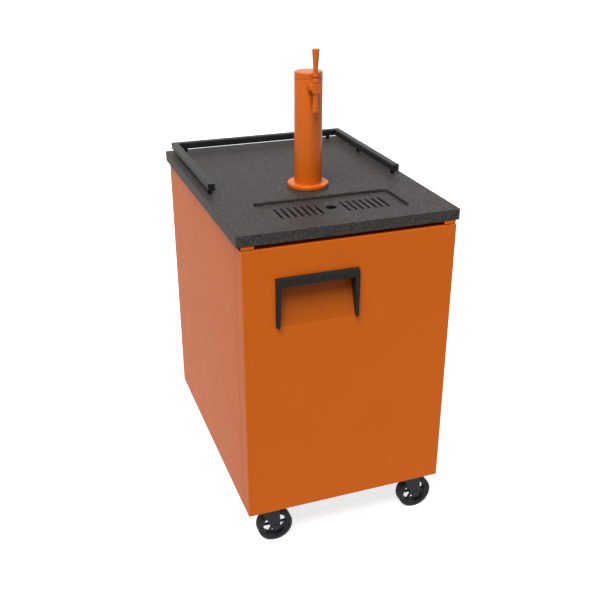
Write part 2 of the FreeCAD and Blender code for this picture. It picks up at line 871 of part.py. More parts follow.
def drip_pan():
    """Pressed tub with a flange that lies on the worktop's ledge, and a drain spigot at its left end."""
    clear = d.grate_clear
    tray = d.tray_half_width
    ledge = d.tray_ledge + clear
    item = new_body("drip_pan")
    sketch = sketch_on(item, "XY_Plane", ledge_z)
    rounded(sketch, clear - tray, tray_y0 + clear, tray - clear, tray_y1 - clear, d.tray_corner - clear)
    pad(item, sketch, d.pan_sheet)
    tub = (ledge - tray, tray_y0 + ledge, tray - ledge, tray_y1 - ledge, d.tray_corner - ledge)
    sketch = sketch_on(item, "XY_Plane", ledge_z - d.pan_drop)
    rounded(sketch, *tub)
    pad(item, sketch, d.pan_drop)
    skin = d.pan_sheet
    inside = (tub[0] + skin, tub[1] + skin, tub[2] - skin, tub[3] - skin, tub[4] - skin)
    sketch = sketch_on(item, "XY_Plane", ledge_z + d.pan_sheet)
    rounded(sketch, *inside)
    pocket(item, sketch, d.pan_drop)
    sketch = sketch_on(item, "XY_Plane", ledge_z - d.pan_drop)
    circle(sketch, (drain_x, drain_y), d.drain_radius)
    pad(item, sketch, d.pan_sheet * 4, back=True)
    sketch = sketch_on(item, "XY_Plane", ledge_z)
    circle(sketch, (drain_x, drain_y), d.drain_radius - d.drain_wall)
    pocket(item, sketch)
    keep(item, "drip_pan")


def drip_grate():
    """Loose plate over the pan, with seven slots on each side of a round finger hole."""
    clear = d.grate_clear
    tray = d.tray_half_width
    item = new_body("drip_grate")
    sketch = sketch_on(item, "XY_Plane", ledge_z + d.pan_sheet)
    rounded(sketch, clear - tray, tray_y0 + clear, tray - clear, tray_y1 - clear, d.tray_corner - clear)
    pad(item, sketch, d.grate_sheet)
    sketch = sketch_on(item, "XY_Plane", ledge_z + d.pan_sheet)
    circle(sketch, (0, tray_y0 + d.slot_middle + 5), d.finger_hole)
    pocket(item, sketch, d.grate_sheet, back=True)
    half = d.slot_width / 2
    middle = tray_y0 + d.slot_middle
    span = d.slot_pitch * (d.slot_count - 1)
    for first in (d.slot_first, -d.slot_first - span):
        sketch = sketch_on(item, "XY_Plane", ledge_z + d.pan_sheet)
        low = middle - d.slot_length / 2
        rounded(sketch, first - half, low, first + half, low + d.slot_length, half - 0.2)
        slot = pocket(item, sketch, d.grate_sheet, back=True)
        row_pattern(item, slot, "X_Axis", span, d.slot_count)
    keep(item, "drip_grate")


def drain_hose():
    """Hose from the pan's spigot, down the left wall of the keg room and out through the floor."""
    start_z = ledge_z - d.pan_drop - d.pan_sheet * 4
    item = doc.addObject("Part::Feature", "drain_hose")
    points = [
        (drain_x, drain_y, start_z),
        (drain_x, drain_y, ceiling_z - d.drain_drop),
        (hose_x, drain_y, ceiling_z - d.drain_drop),
        (hose_x, drain_y, base_z),
    ]
    radius = plain(d.drain_radius)
    item.Shape = bent_tube(points, radius * 2, radius, radius - plain(d.drain_wall))
    keep(item, "drain_hose")


def rail_tube(name, outline, hollow_role, hollow, depth=None):
    """One mitred square tube of the guard rail."""
    item = new_body(name)
    sketch = sketch_on(item, "XY_Plane", top_z + d.rail_lift)
    polygon(sketch, outline)
    pad(item, sketch, d.rail_tube)
    offset, left, right = hollow
    sketch = sketch_on(item, hollow_role, offset)
    low = top_z + d.rail_lift + d.rail_wall
    rectangle(sketch, left, low, right, low + d.rail_tube - d.rail_wall * 2)
    pocket(item, sketch, depth, back=hollow_role == "YZ_Plane")
    return item


def rail_posts():
    """Short round posts that lift the rail off the worktop."""
    side = d.counter_width / 2 - d.rail_side_inset - d.rail_tube / 2
    back = rear_y - d.rail_back_inset - d.rail_tube / 2
    end = front_y + d.rail_front + d.post_end
    spots = [(-side, end), (side, end), (-side, back - d.post_reach), (side, back - d.post_reach)]
    spots += [(-side + d.post_shift, back), (side - d.post_shift, back)]
    return [rod("Post", d.post_radius, d.rail_lift, x, y, top_z) for x, y in spots]


def guard_rail():
    """Three mitred tubes round the sides and back of the worktop, open to the front."""
    outer = d.counter_width / 2 - d.rail_side_inset
    inner = outer - d.rail_tube
    back = rear_y - d.rail_back_inset
    inside = back - d.rail_tube
    end = front_y + d.rail_front
    wall = d.rail_wall
    pieces = []
    for side, name in ((-1, "RailLeft"), (1, "RailRight")):
        outline = [(outer * side, end), (outer * side, back), (inner * side, inside), (inner * side, end)]
        edges = sorted([(outer - wall) * side, (inner + wall) * side], key=plain)
        hollow = (-(end + d.rail_cap), edges[0], edges[1])
        length = d.counter_depth
        pieces.append(rail_tube(name, outline, "XZ_Plane", hollow, length))
    outline = [(-outer, back), (outer, back), (inner, inside), (-inner, inside)]
    hollow = (-outer, inside + wall, back - wall)
    pieces.append(rail_tube("RailRear", outline, "YZ_Plane", hollow, d.counter_width))
    keep(group("guard_rail", pieces + rail_posts()), "guard_rail")


def tower():
    """Round tower: rubber seal, flange, column and cap, turned about one upright axis."""
    seal_top = d.gasket_sheet
    flange_top = d.flange_height
    inner = d.tower_radius - d.tower_wall
    spigot = inner - d.part_gap

    item = place(new_body("tower_seal"), 0, tower_y, top_z)
    sketch = sketch_on(item, "XY_Plane")
    circle(sketch, (0, 0), d.flange_radius - 1)
    circle(sketch, (0, 0), d.line_hole)
    pad(item, sketch, seal_top)
    keep(item, "tower_seal")

    item = place(new_body("tower_flange"), 0, tower_y, top_z)
    sketch = sketch_on(item, "XZ_Plane")
    points = [
        (d.line_hole, seal_top),
        (d.flange_radius, seal_top),
        (d.flange_radius, flange_top),
        (spigot, flange_top),
        (spigot, flange_top + d.tower_spigot),
        (d.line_hole, flange_top + d.tower_spigot),
    ]
    polygon(sketch, points)
    revolve(item, sketch)
    top_edge = lambda edge: near(edge.BoundBox.ZMin, flange_top) and near(edge.BoundBox.ZMax, flange_top) \
        and near(edge.BoundBox.XMax, d.flange_radius)
    fillet(item, d.flange_round, top_edge)
    keep(item, "tower_flange")

    column_top = d.tower_height - d.tower_cap_height
    item = place(new_body("tower_column"), 0, tower_y, top_z)
    sketch = sketch_on(item, "XY_Plane", flange_top)
    circle(sketch, (0, 0), d.tower_radius)
    circle(sketch, (0, 0), inner)
    pad(item, sketch, column_top - flange_top)
    sketch = sketch_on(item, "XZ_Plane")
    circle(sketch, (0, d.shank_height), d.shank_radius + d.running_fit)
    pocket(item, sketch, d.tower_radius * 2, back=True)
    keep(item, "tower_column")

    item = place(new_body("tower_cap"), 0, tower_y, top_z)
    sketch = sketch_on(item, "XZ_Plane")
    top = d.tower_height
    shell = [
        (0, top - d.tower_cap_top - 2),
        (spigot - 2, top - d.tower_cap_top - 2),
        (spigot - 2, column_top - d.tower_spigot),
        (spigot, column_top - d.tower_spigot),
        (spigot, column_top),
        (d.tower_radius, column_top),
        (d.tower_radius, top),
        (0, top),
    ]
    polygon(sketch, shell)
    revolve(item, sketch)
    rim = lambda edge: near(edge.BoundBox.ZMin, top) and near(edge.BoundBox.XMax, d.tower_radius)
    fillet(item, 1.2, rim)
    keep(item, "tower_cap")


def faucet():
    """Rear-sealing faucet on its shank. Its lever hinges in the bonnet and pushes a sliding plunger."""
    wall_y = tower_y - d.tower_radius
    axis_z = top_z + d.shank_height
    collar_face = -d.collar_depth
    nut_face = collar_face - d.nut_depth
    barrel_face = nut_face - d.barrel_depth
    middle = -d.faucet_reach
    boss_top = d.barrel_radius + d.boss_rise
    fit = d.running_fit
    inner_y = d.tower_wall

    item = place(new_body("faucet_shank"), 0, wall_y, axis_z)
    sketch = sketch_on(item, "YZ_Plane")
    rectangle(sketch, -d.shank_nose, d.shank_bore, d.shank_tail, d.shank_radius)
    revolve(item, sketch, "H_Axis")
    keep(item, "faucet_shank")

    # The nut pulls the shank up inside the column, on a saddle washer that fits the curved wall
    item = place(new_body("shank_nut"), 0, wall_y, axis_z)
    seat = inner_y + d.tower_radius / 8
    sketch = sketch_on(item, "XZ_Plane", -seat)
    polygon(sketch, hexagon(d.shank_nut_radius))
    circle(sketch, (0, 0), d.shank_radius + fit)
    pad(item, sketch, d.shank_nut_height, back=True)
    keep(item, "shank_nut")

    # Round collar with a hollow back that sits on the column
    collar = rod("CollarDisc", d.collar_radius, d.collar_radius, 0, collar_face, 0, "y")
    hollow = rod("CollarHollow", d.tower_radius + fit, d.collar_radius * 4, 0, d.tower_radius,
                 -2 * d.collar_radius)
    bore = rod("CollarBore", d.shank_radius + fit, d.collar_radius * 2, 0, collar_face, 0, "y")
    item = cut("shank_collar", cut("CollarSaddle", collar, hollow), bore)
    keep(place(item, 0, wall_y, axis_z), "shank_collar")

    item = place(new_body("coupling_nut"), 0, wall_y, axis_z)
    sketch = sketch_on(item, "YZ_Plane")
    deep = nut_face + d.nut_counterbore_depth
    bore_radius = d.shank_radius + fit
    points = [
        (nut_face, d.nut_counterbore),
        (deep, d.nut_counterbore),
        (deep, bore_radius),
        (collar_face, bore_radius),
        (collar_face, d.nut_radius),
        (nut_face, d.nut_radius),
    ]
    polygon(sketch, points)
    revolve(item, sketch, "H_Axis")
    sketch = sketch_on(item, "XZ_Plane", -nut_face)
    circle(sketch, (d.nut_radius, 0), 2)
    notch = pocket(item, sketch)
    ring_pattern(item, notch, "Y_Axis", 6)
    keep(item, "coupling_nut")

    item = place(new_body("faucet_body"), 0, wall_y, axis_z)
    sketch = sketch_on(item, "YZ_Plane")
    rectangle(sketch, barrel_face, 0, nut_face, d.barrel_radius)
    revolve(item, sketch, "H_Axis")
    low = d.spout_bottom - d.shank_height
    sketch = sketch_on(item, "XY_Plane", low)
    circle(sketch, (0, middle), d.spout_ring_radius)
    pad(item, sketch, d.spout_ring_height)
    sketch = sketch_on(item, "XY_Plane", low + d.spout_ring_height)
    circle(sketch, (0, middle), d.spout_radius)
    pad(item, sketch, -low - d.spout_ring_height)
    sketch = sketch_on(item, "XY_Plane", 0)
    circle(sketch, (0, middle), d.bonnet_boss)
    pad(item, sketch, boss_top)
    bore = d.plunger_radius + fit
    sketch = sketch_on(item, "XZ_Plane", -nut_face)
    circle(sketch, (0, 0), bore)
    pocket(item, sketch, d.barrel_depth - 1.5, back=True)
    sketch = sketch_on(item, "XY_Plane", low)
    circle(sketch, (0, middle), d.spout_bore)
    pocket(item, sketch, -low, back=True)
    sketch = sketch_on(item, "XY_Plane", boss_top)
    slot = d.lever_slot
    rectangle(sketch, -slot, middle - slot, slot, nut_face + 1)
    pocket(item, sketch, boss_top)
    keep(item, "faucet_body")

    item = place(new_body("faucet_bonnet"), 0, wall_y + middle, axis_z)
    sketch = sketch_on(item, "XZ_Plane")
    points = [
        (d.bonnet_mouth, boss_top),
        (d.bonnet_radius, boss_top),
        (d.bonnet_radius, d.bonnet_top - 1),
        (d.bonnet_radius - 1, d.bonnet_top),
        (d.bonnet_bore, d.bonnet_top),
        (d.bonnet_bore, d.bonnet_seat),
        (d.bonnet_mouth, d.bonnet_seat),
    ]
    polygon(sketch, points)
    revolve(item, sketch)
    keep(item, "faucet_bonnet")

    item = place(new_body("faucet_plunger"), 0, wall_y, axis_z)
    sketch = sketch_on(item, "YZ_Plane")
    back = nut_face
    points = [
        (back - d.plunger_length, 0),
        (back - d.plunger_length, d.plunger_radius),
        (middle - d.plunger_groove, d.plunger_radius),
        (middle - d.plunger_groove, d.plunger_neck),
        (middle + d.plunger_groove, d.plunger_neck),
        (middle + d.plunger_groove, d.plunger_radius),
        (back, d.plunger_radius),
        (back, 0),
    ]
    polygon(sketch, points)
    revolve(item, sketch, "H_Axis")
    keep(item, "faucet_plunger")

    ball = doc.addObject("Part::Sphere", "LeverBall")
    bind(ball, "Radius", d.lever_ball)
    place(ball, 0, 0, d.lever_pivot)
    stem = rod("LeverStem", d.lever_stem, d.tap_foot + d.tap_socket - 1 - d.lever_pivot, 0, 0, d.lever_pivot)
    tail = rod("LeverTail", d.lever_tail, d.lever_pivot - d.lever_tip, 0, 0, d.lever_tip)
    item = join("faucet_lever", [ball, stem, tail])
    keep(place(item, 0, wall_y + middle, axis_z), "faucet_lever")

    item = place(new_body("tap_handle"), 0, wall_y + middle, axis_z)
    sketch = sketch_on(item, "XZ_Plane")
    top = d.tap_top - d.shank_height
    socket = d.lever_stem + fit
    points = [
        (socket, d.tap_foot),
        (d.tap_foot_radius, d.tap_foot),
        (d.tap_foot_radius, d.tap_foot + 4),
        (d.tap_foot_radius - 0.8, d.tap_foot + 6),
        (d.tap_foot_radius + 0.6, d.tap_waist),
        (d.tap_top_radius, top - d.tap_chamfer * 2),
        (d.tap_top_radius - d.tap_chamfer, top),
        (0, top),
        (0, d.tap_foot + d.tap_socket),
        (socket, d.tap_foot + d.tap_socket),
    ]
    polygon(sketch, points)
    revolve(item, sketch)
    keep(item, "tap_handle")


pivot_x = half_width - d.pivot_side
pivot_y = door_front + d.pivot_back
door_low = base_z + d.door_foot
handle_right = d.handle_left + d.handle_width
handle_low = base_z + d.handle_bottom
handle_top = handle_low + d.handle_height


def scoop_profile(wall=0.0):
    """Side view of the scoop: it slopes in from the foot, then runs up behind the bar. Wall grows it outward."""
    rise = d.handle_height - d.scoop_flat
    slope = rise / d.scoop_depth
    step = wall * (slope * slope + 1).root()
    front = door_front + (d.door_skin if wall else 0.0)
    deep = door_front + d.scoop_depth + wall
    top = handle_top + wall
    foot = handle_low + slope * (front - door_front) - step
    knee = handle_low + slope * (deep - door_front) - step
    return [(front, foot), (deep, knee), (deep, top), (front, top)]


def door_outer_panel():
    """Folded steel skin of the door: face, sides, top and foot, cut out for the pull."""
    item = new_body("door_outer_panel")
    skin = d.door_skin
    sketch = sketch_on(item, "XZ_Plane", -door_front)
    rectangle(sketch, -half_width, base_z + d.door_low_gap, half_width, door_top)
    pad(item, sketch, d.door_thickness, back=True)
    fillet(item, d.door_round, lambda edge: upright_edge(edge) and near(edge.BoundBox.YMin, door_front))
    edge = half_width - skin
    sketch = sketch_on(item, "XZ_Plane", -door_back)
    rectangle(sketch, -edge, door_low + skin, edge, door_top - skin)
    pocket(item, sketch, d.door_thickness - skin, back=True)
    sketch = sketch_on(item, "XY_Plane", base_z)
    rectangle(sketch, -edge, door_front + skin, half_width + 1, door_back + 1)
    pocket(item, sketch, d.door_foot, back=True)
    sketch = sketch_on(item, "XZ_Plane", -door_front)
    rectangle(sketch, d.handle_left, handle_low, handle_right, handle_top)
    pocket(item, sketch, skin)
    sketch = sketch_on(item, "XY_Plane", door_top)
    circle(sketch, (pivot_x, pivot_y), d.bush_radius)
    pocket(item, sketch, d.door_thickness)
    sketch = sketch_on(item, "XY_Plane", door_low)
    circle(sketch, (pivot_x, pivot_y), d.bush_radius)
    pocket(item, sketch, skin, back=True)
    keep(item, "door_outer_panel")


def door_inside():
    """Foam filling, inner sheet, gasket and the two hinge bushes of the door."""
    skin = d.door_skin
    edge = half_width - skin
    low = door_low + skin
    high = door_top - skin
    item = new_body("door_foam")
    sketch = sketch_on(item, "XZ_Plane", -(door_front + skin))
    rectangle(sketch, -edge + d.door_round, low, edge - d.door_round, high)
    pad(item, sketch, d.door_thickness - skin - d.door_inner_sheet, back=True)
    sketch = sketch_on(item, "YZ_Plane", d.handle_left - d.scoop_wall)
    polygon(sketch, scoop_profile(d.scoop_wall))
    pocket(item, sketch, d.handle_width + d.scoop_wall * 2, back=True)
    for level, back in ((low, True), (high, False)):
        sketch = sketch_on(item, "XY_Plane", level)
        circle(sketch, (pivot_x, pivot_y), d.bush_radius)
        pocket(item, sketch, d.hinge_pin_reach + 2, back=back)
    keep(item, "door_foam")

    item = new_body("door_inner_panel")
    sketch = sketch_on(item, "XZ_Plane", -(door_back - d.door_inner_sheet))
    rectangle(sketch, -edge, low, edge, high)
    pad(item, sketch, d.door_inner_sheet, back=True)
    keep(item, "door_inner_panel")

    item = new_body("door_gasket")
    sketch = sketch_on(item, "XZ_Plane", -door_back)
    outer = half_width - d.gasket_inset
    bottom = floor_z - d.gasket_overlap - d.gasket_width
    top = ceiling_z + d.gasket_overlap + d.gasket_width
    inner = outer - d.gasket_width
    rounded(sketch, -outer, bottom, outer, top, d.gasket_width)
    rounded(sketch, -inner, bottom + d.gasket_width, inner, top - d.gasket_width, 2)
    pad(item, sketch, d.gasket_gap - d.gasket_clear, back=True)
    keep(item, "door_gasket")

    pieces = []
    for level in (door_low, door_top - d.hinge_pin_reach):
        item = new_body("Bush")
        sketch = sketch_on(item, "XY_Plane", level)
        circle(sketch, (pivot_x, pivot_y), d.bush_radius)
        circle(sketch, (pivot_x, pivot_y), d.hinge_pin_radius + d.running_fit)
        pad(item, sketch, d.hinge_pin_reach)
        pieces.append(item)
    keep(group("hinge_bushes", pieces), "hinge_bushes")


def door_scoop():
    """Open-fronted tub behind the pull, whose floor slopes in under the bar."""
    item = new_body("door_scoop")
    wall = d.scoop_wall
    sketch = sketch_on(item, "YZ_Plane", d.handle_left - wall)
    polygon(sketch, scoop_profile(wall))
    pad(item, sketch, d.handle_width + wall * 2)
    sketch = sketch_on(item, "YZ_Plane", d.handle_left)
    polygon(sketch, scoop_profile())
    pocket(item, sketch, d.handle_width, back=True)
    keep(item, "door_scoop")


def door_handle():
    """Black pull: a bar between two tapered legs, whose inner walls run back along the scoop."""
    gap = d.part_gap
    left = d.handle_left + gap
    right = handle_right - gap
    top = handle_top - gap
    foot = handle_low + gap
    under = handle_top - d.handle_bar
    front = door_front - d.handle_proud
    item = new_body("door_handle")
    sketch = sketch_on(item, "XZ_Plane", -front)
    outline = [
        (left, foot),
        (left + d.handle_leg_foot, foot),
        (left + d.handle_leg_top, under),
        (right - d.handle_leg_top, under),
        (right - d.handle_leg_foot, foot),
        (right, foot),
        (right, top),
        (left, top),
    ]
    polygon(sketch, outline)
    pad(item, sketch, d.handle_proud + d.scoop_depth - gap, back=True)
    corner = lambda edge: edge.BoundBox.YLength > 10 and near(edge.BoundBox.ZMin, top)
    fillet(item, d.handle_round, corner)

    # Behind the slope
    sketch = sketch_on(item, "YZ_Plane", d.handle_left - 1)
    profile = scoop_profile()
    behind = [
        (door_front - gap, handle_low - 1),
        (door_front - gap, handle_low),
        (profile[1][0] - gap, profile[1][1] + gap),
        (profile[1][0] + 1, profile[1][1] + gap),
        (profile[1][0] + 1, handle_low - 1),
    ]
    polygon(sketch, behind)
    pocket(item, sketch, d.handle_width + 2, back=True)

    # Finger room behind the bar
    sketch = sketch_on(item, "XY_Plane", handle_top + 1)
    inner_left = left + d.handle_leg_top
    inner_right = right - d.handle_leg_top
    rectangle(sketch, inner_left, front + d.handle_bar_depth, inner_right, door_front + d.scoop_depth + 1)
    pocket(item, sketch, d.handle_height)
    bar_edge = lambda edge: edge.BoundBox.XLength > plain(d.handle_width) - 60 and near(
        edge.BoundBox.YMin, front) and near(edge.BoundBox.YMax, front)
    fillet(item, d.handle_round / 4, bar_edge)
    keep(item, "door_handle")


def hinges():
    """Brackets that hold the door's pins: two at the top corners and one under the hinge side."""
    plate = d.hinge_plate
    tip = front_y + 0.5
    profile = [
        (tip, under_z - d.hinge_lip),
        (tip + 3, under_z - d.hinge_lip),
        (tip + 3, under_z - plate),
        (land_y, under_z - plate),
        (land_y, under_z),
        (tip, under_z),
    ]
    pieces = []
    edge = skin_x - d.part_gap
    for left in (-edge, edge - d.hinge_width):
        item = new_body("TopBracket")
        sketch = sketch_on(item, "YZ_Plane", left)
        polygon(sketch, profile)
        pad(item, sketch, d.hinge_width)
        pieces.append(item)
    half = d.hinge_arm / 2
    low = base_z + 2
    item = new_body("BottomBracket")
    sketch = sketch_on(item, "XY_Plane", low)
    rectangle(sketch, pivot_x - half, pivot_y - half, pivot_x + half, land_y)
    pad(item, sketch, plate)
    fillet(item, half - 1, lambda edge: upright_edge(edge) and near(edge.BoundBox.YMin, pivot_y - half))
    sketch = sketch_on(item, "XY_Plane", low)
    rectangle(sketch, pivot_x - half, land_y - 3, pivot_x + half, land_y)
    pad(item, sketch, plate * 4.5)
    pieces.append(item)
    keep(group("hinge_brackets", pieces), "hinge_brackets")

    reach = d.hinge_pin_reach
    upper = rod("UpperPin", d.hinge_pin_radius, reach, pivot_x, pivot_y, under_z - plate - reach)
    lower = rod("LowerPin", d.hinge_pin_radius, reach - 2, pivot_x, pivot_y, low + plate)
    keep(group("hinge_pins", [upper, lower]), "hinge_pins")


machine_y = (bulkhead_y + back_y) / 2
pan_top = base_z + d.base_sheet
coil_low = pan_top
coil_y1 = back_y - d.coil_back
coil_y0 = coil_y1 - d.coil_depth
fan_z = coil_low + d.coil_height / 2


def compressor():
    """Domed hermetic compressor on its foot plate."""
    item = place(new_body("compressor"), -d.compressor_side, machine_y, pan_top)
    radius = d.compressor_radius
    tall = d.compressor_height
    sketch = sketch_on(item, "XZ_Plane")
    points = [
        (0, 4),
        (radius * 0.7, 4),
        (radius * 0.96, 20),
        (radius * 0.96, tall * 0.45),
        (radius, tall * 0.45),
        (radius, tall * 0.5),
        (radius * 0.96, tall * 0.5),
        (radius * 0.92, tall * 0.78),
        (radius * 0.68, tall * 0.95),
        (radius * 0.3, tall),
        (0, tall),
    ]
    polygon(sketch, points)
    revolve(item, sketch)
    foot = radius * 1.08
    sketch = sketch_on(item, "XY_Plane")
    rounded(sketch, -foot, -foot, foot, foot, 14)
    pad(item, sketch, 4.5)
    sketch = sketch_on(item, "XY_Plane")
    for i in (-1, 1):
        for j in (-1, 1):
            circle(sketch, (foot * 0.85 * i, foot * 0.85 * j), 6.2)
    pocket(item, sketch, 4.5, back=True)
    keep(item, "compressor")


def finned_coil(label, x, y, z, width, depth, height, fins):
    """Coil block: two end plates and a row of fins that rows of tubes hold together."""
    item = place(new_body(label), x, y, z)
    plate = d.fan_sheet
    sketch = sketch_on(item, "XZ_Plane")
    rectangle(sketch, 0, 0, plate, height)
    fin = pad(item, sketch, depth, back=True)
    tube = d.coil_tube
    for level in (0.2, 0.5, 0.8):
        sketch = sketch_on(item, "YZ_Plane")
        middle = height * level
        rectangle(sketch, depth / 2 - tube, middle - tube, depth / 2 + tube, middle + tube)
        pad(item, sketch, width)
    row_pattern(item, fin, "X_Axis", width - plate, fins)
    keep(item, label)


def axial_fan(label, x, y, z, radius, hub, depth, blades):
    """Fan rotor: a hub bored for its shaft and pitched flat blades in a ring."""
    item = place(new_body(label), x, y, z)
    fit = d.running_fit
    sketch = sketch_on(item, "YZ_Plane")
    rectangle(sketch, 0, d.fan_shaft + fit, depth, hub)
    revolve(item, sketch, "H_Axis")
    sketch = sketch_on(item, "YZ_Plane", hub - 2)
    reach = radius * 0.3
    thick = d.fan_sheet
    points = [(1, -reach), (1 + thick, -reach), (depth - 1, reach), (depth - 1 - thick, reach)]
    polygon(sketch, points)
    blade = pad(item, sketch, radius * 0.94 - hub)
    ring_pattern(item, blade, "Y_Axis", blades)
    keep(item, label)


def fan_motor(label, x, y, z, radius, length, shaft):
    """Motor can with its shaft through the rotor, on a strap that runs down to its bracket."""
    item = place(new_body(label), x, y, z)
    sketch = sketch_on(item, "YZ_Plane")
    points = [
        (-length, 0),
        (-length, radius * 0.8),
        (-length + 4, radius),
        (-4, radius),
        (0, radius * 0.8),
        (0, d.fan_shaft + 3),
        (2, d.fan_shaft + 3),
        (2, d.fan_shaft),
        (shaft, d.fan_shaft),
        (shaft, 0),
    ]
    polygon(sketch, points)
    revolve(item, sketch, "H_Axis")
    return item


def condenser():
    """Condenser coil, its fan and the fan's motor on a bracket that stands on the base."""
    x0 = coil_x - d.coil_width / 2
    finned_coil("condenser_coil", x0, coil_y0, coil_low, d.coil_width, d.coil_depth, d.coil_height, d.coil_fins)
    fan_y = coil_y0 - d.fan_gap - d.fan_depth
    axial_fan("condenser_fan", coil_x, fan_y, fan_z, d.fan_radius, d.fan_hub, d.fan_depth, d.fan_blades)
    item = fan_motor("condenser_fan_motor", coil_x, fan_y - 4, fan_z, d.motor_radius, d.motor_length,
                     d.fan_depth + 4)
    sketch = sketch_on(item, "XZ_Plane", d.motor_length / 2)
    drop = fan_z - pan_top
    rectangle(sketch, -14, -drop, 14, -d.motor_radius * 0.9)
    pad(item, sketch, 3)
    sketch = sketch_on(item, "XY_Plane", -drop)
    rectangle(sketch, -14, -d.motor_length / 2 - 3, 14, 12 - d.motor_length / 2)
    pad(item, sketch, 3)
    keep(item, "condenser_fan_motor")


def evaporator():
    """Cooler behind a vented cover on the rear wall of the keg room: coil, fan and motor."""
    half = cover_half
    sheet_d = d.cover_sheet
    fan_x = half - d.cooler_fan_radius - d.cooler_fan_edge
    item = new_body("evaporator_cover")
    sketch = sketch_on(item, "XZ_Plane", -cover_y)
    rounded(sketch, -half, cover_low, half, cover_top, 8)
    pad(item, sketch, d.cover_depth, back=True)
    sketch = sketch_on(item, "XZ_Plane", -room_y)
    rounded(sketch, sheet_d - half, cover_low + sheet_d, half - sheet_d, cover_top - sheet_d, 6.5)
    pocket(item, sketch, d.cover_depth - sheet_d, back=True)
    for step in range(FAN_SLOTS):
        offset = d.fan_slot_pitch * (step - (FAN_SLOTS - 1) / 2)
        level = cooler_z + offset
        rim = d.cooler_fan_radius - d.fan_slot_pitch / 3
        reach = (rim * rim - offset * offset).root()
        sketch = sketch_on(item, "XZ_Plane", -cover_y)
        rectangle(sketch, fan_x - reach, level - d.fan_slot / 2, fan_x + reach, level + d.fan_slot / 2)
        pocket(item, sketch, sheet_d)
    sketch = sketch_on(item, "XZ_Plane", -cover_y)
    first = d.intake_inset - half
    rectangle(sketch, first, cover_low + d.intake_margin, first + d.intake_slot, cover_top - d.intake_margin)
    vent = pocket(item, sketch, sheet_d)
    row_pattern(item, vent, "X_Axis", d.intake_pitch * (d.intake_count - 1), d.intake_count)
    keep(item, "evaporator_cover")

    gap = d.cooler_coil_gap
    finned_coil("evaporator_coil", gap - half, room_y - gap - d.cooler_coil_depth, cover_low + gap,
                half * 2 * d.cooler_coil_share, d.cooler_coil_depth, d.cover_height - gap * 2,
                d.cooler_coil_fins)
    axial_fan("evaporator_fan", fan_x, cover_y + d.cooler_fan_gap, cooler_z, d.cooler_fan_radius,
              d.cooler_fan_hub, d.cooler_fan_depth, d.fan_blades)
    motor = place(new_body("evaporator_fan_motor"), fan_x, cover_y + d.cooler_motor_gap, cooler_z)
    sketch = sketch_on(motor, "YZ_Plane")
    length = room_y - cover_y - d.cooler_motor_gap
    shaft = d.cooler_motor_gap - d.cooler_fan_gap
    radius = d.cooler_motor_radius
    points = [(-shaft, 0), (-shaft, d.fan_shaft), (0, d.fan_shaft), (0, radius * 0.8), (radius * 0.2, radius),
              (length, radius), (length, 0)]
    polygon(sketch, points)
    revolve(motor, sketch, "H_Axis")
    keep(motor, "evaporator_fan_motor")


def thermostat():
    """Control box on the rear wall of the keg room, with a ribbed knob on a shaft."""
    x0 = cover_half + d.dial_box_gap
    x1 = x0 + d.dial_box_width
    z1 = cover_top - d.dial_box_drop
    z0 = z1 - d.dial_box_height
    face = room_y - d.dial_box_depth
    middle = (x0 + x1) / 2
    level = z1 - d.dial_drop
    item = new_body("thermostat_box")
    sketch = sketch_on(item, "XZ_Plane", -face)
    rounded(sketch, x0, z0, x1, z1, d.dial_box_corner)
    pad(item, sketch, d.dial_box_depth, back=True)
    sketch = sketch_on(item, "XZ_Plane", -face)
    circle(sketch, (middle, level), d.dial_shaft)
    pad(item, sketch, d.dial_shaft_length)
    keep(item, "thermostat_box")

    knob = place(new_body("thermostat_knob"), middle, face, level)
    sketch = sketch_on(knob, "YZ_Plane")
    bore = d.dial_shaft + d.running_fit
    bottom = -d.dial_shaft_length - d.dial_end_gap
    slim = d.dial_radius - d.dial_chamfer / 2
    points = [
        (-d.dial_depth, 0),
        (-d.dial_depth, slim - d.dial_chamfer),
        (d.dial_chamfer - d.dial_depth, slim),
        (-d.dial_seat, d.dial_radius),
        (-d.dial_seat, bore),
        (bottom, bore),
        (bottom, 0),
    ]
    polygon(sketch, points)
    revolve(knob, sketch, "H_Axis")
    sketch = sketch_on(knob, "XZ_Plane", d.dial_flute_start)
    circle(sketch, (0, d.dial_radius + d.dial_flute_out), d.dial_flute)
    flute = pocket(knob, sketch, d.dial_flute_run, back=True)
    ring_pattern(knob, flute, "Y_Axis", d.dial_flutes)
    keep(knob, "thermostat_knob")


def refrigerant_lines():
    """Copper lines: hot gas to the condenser, and the return line from the cooler through the bulkhead."""
    top = pan_top + d.compressor_height
    radius = plain(d.pipe_radius)
    bend = radius * 4
    high = top + 190
    hot_x = coil_x - d.coil_width / 3
    coil_top = coil_low + d.coil_height
    coil_mid = (coil_y0 + coil_y1) / 2
    hot = [
        (15 - d.compressor_side, machine_y, top),
        (15 - d.compressor_side, machine_y, high),
        (hot_x, machine_y, high),
        (hot_x, coil_mid, high),
        (hot_x, coil_mid, coil_top),
    ]
    cold = [
        (pipe_x, room_y - d.cooler_coil_gap, pipe_z),
        (pipe_x, machine_y - 14, pipe_z),
        (-10 - d.compressor_side, machine_y - 14, pipe_z),
        (-10 - d.compressor_side, machine_y - 14, top),
    ]
    pieces = []
    for name, points in (("HotLine", hot), ("ColdLine", cold)):
        line = doc.addObject("Part::Feature", name)
        line.Shape = bent_tube(points, bend, radius)
        pieces.append(line)
    keep(group("refrigerant_lines", pieces), "refrigerant_lines")


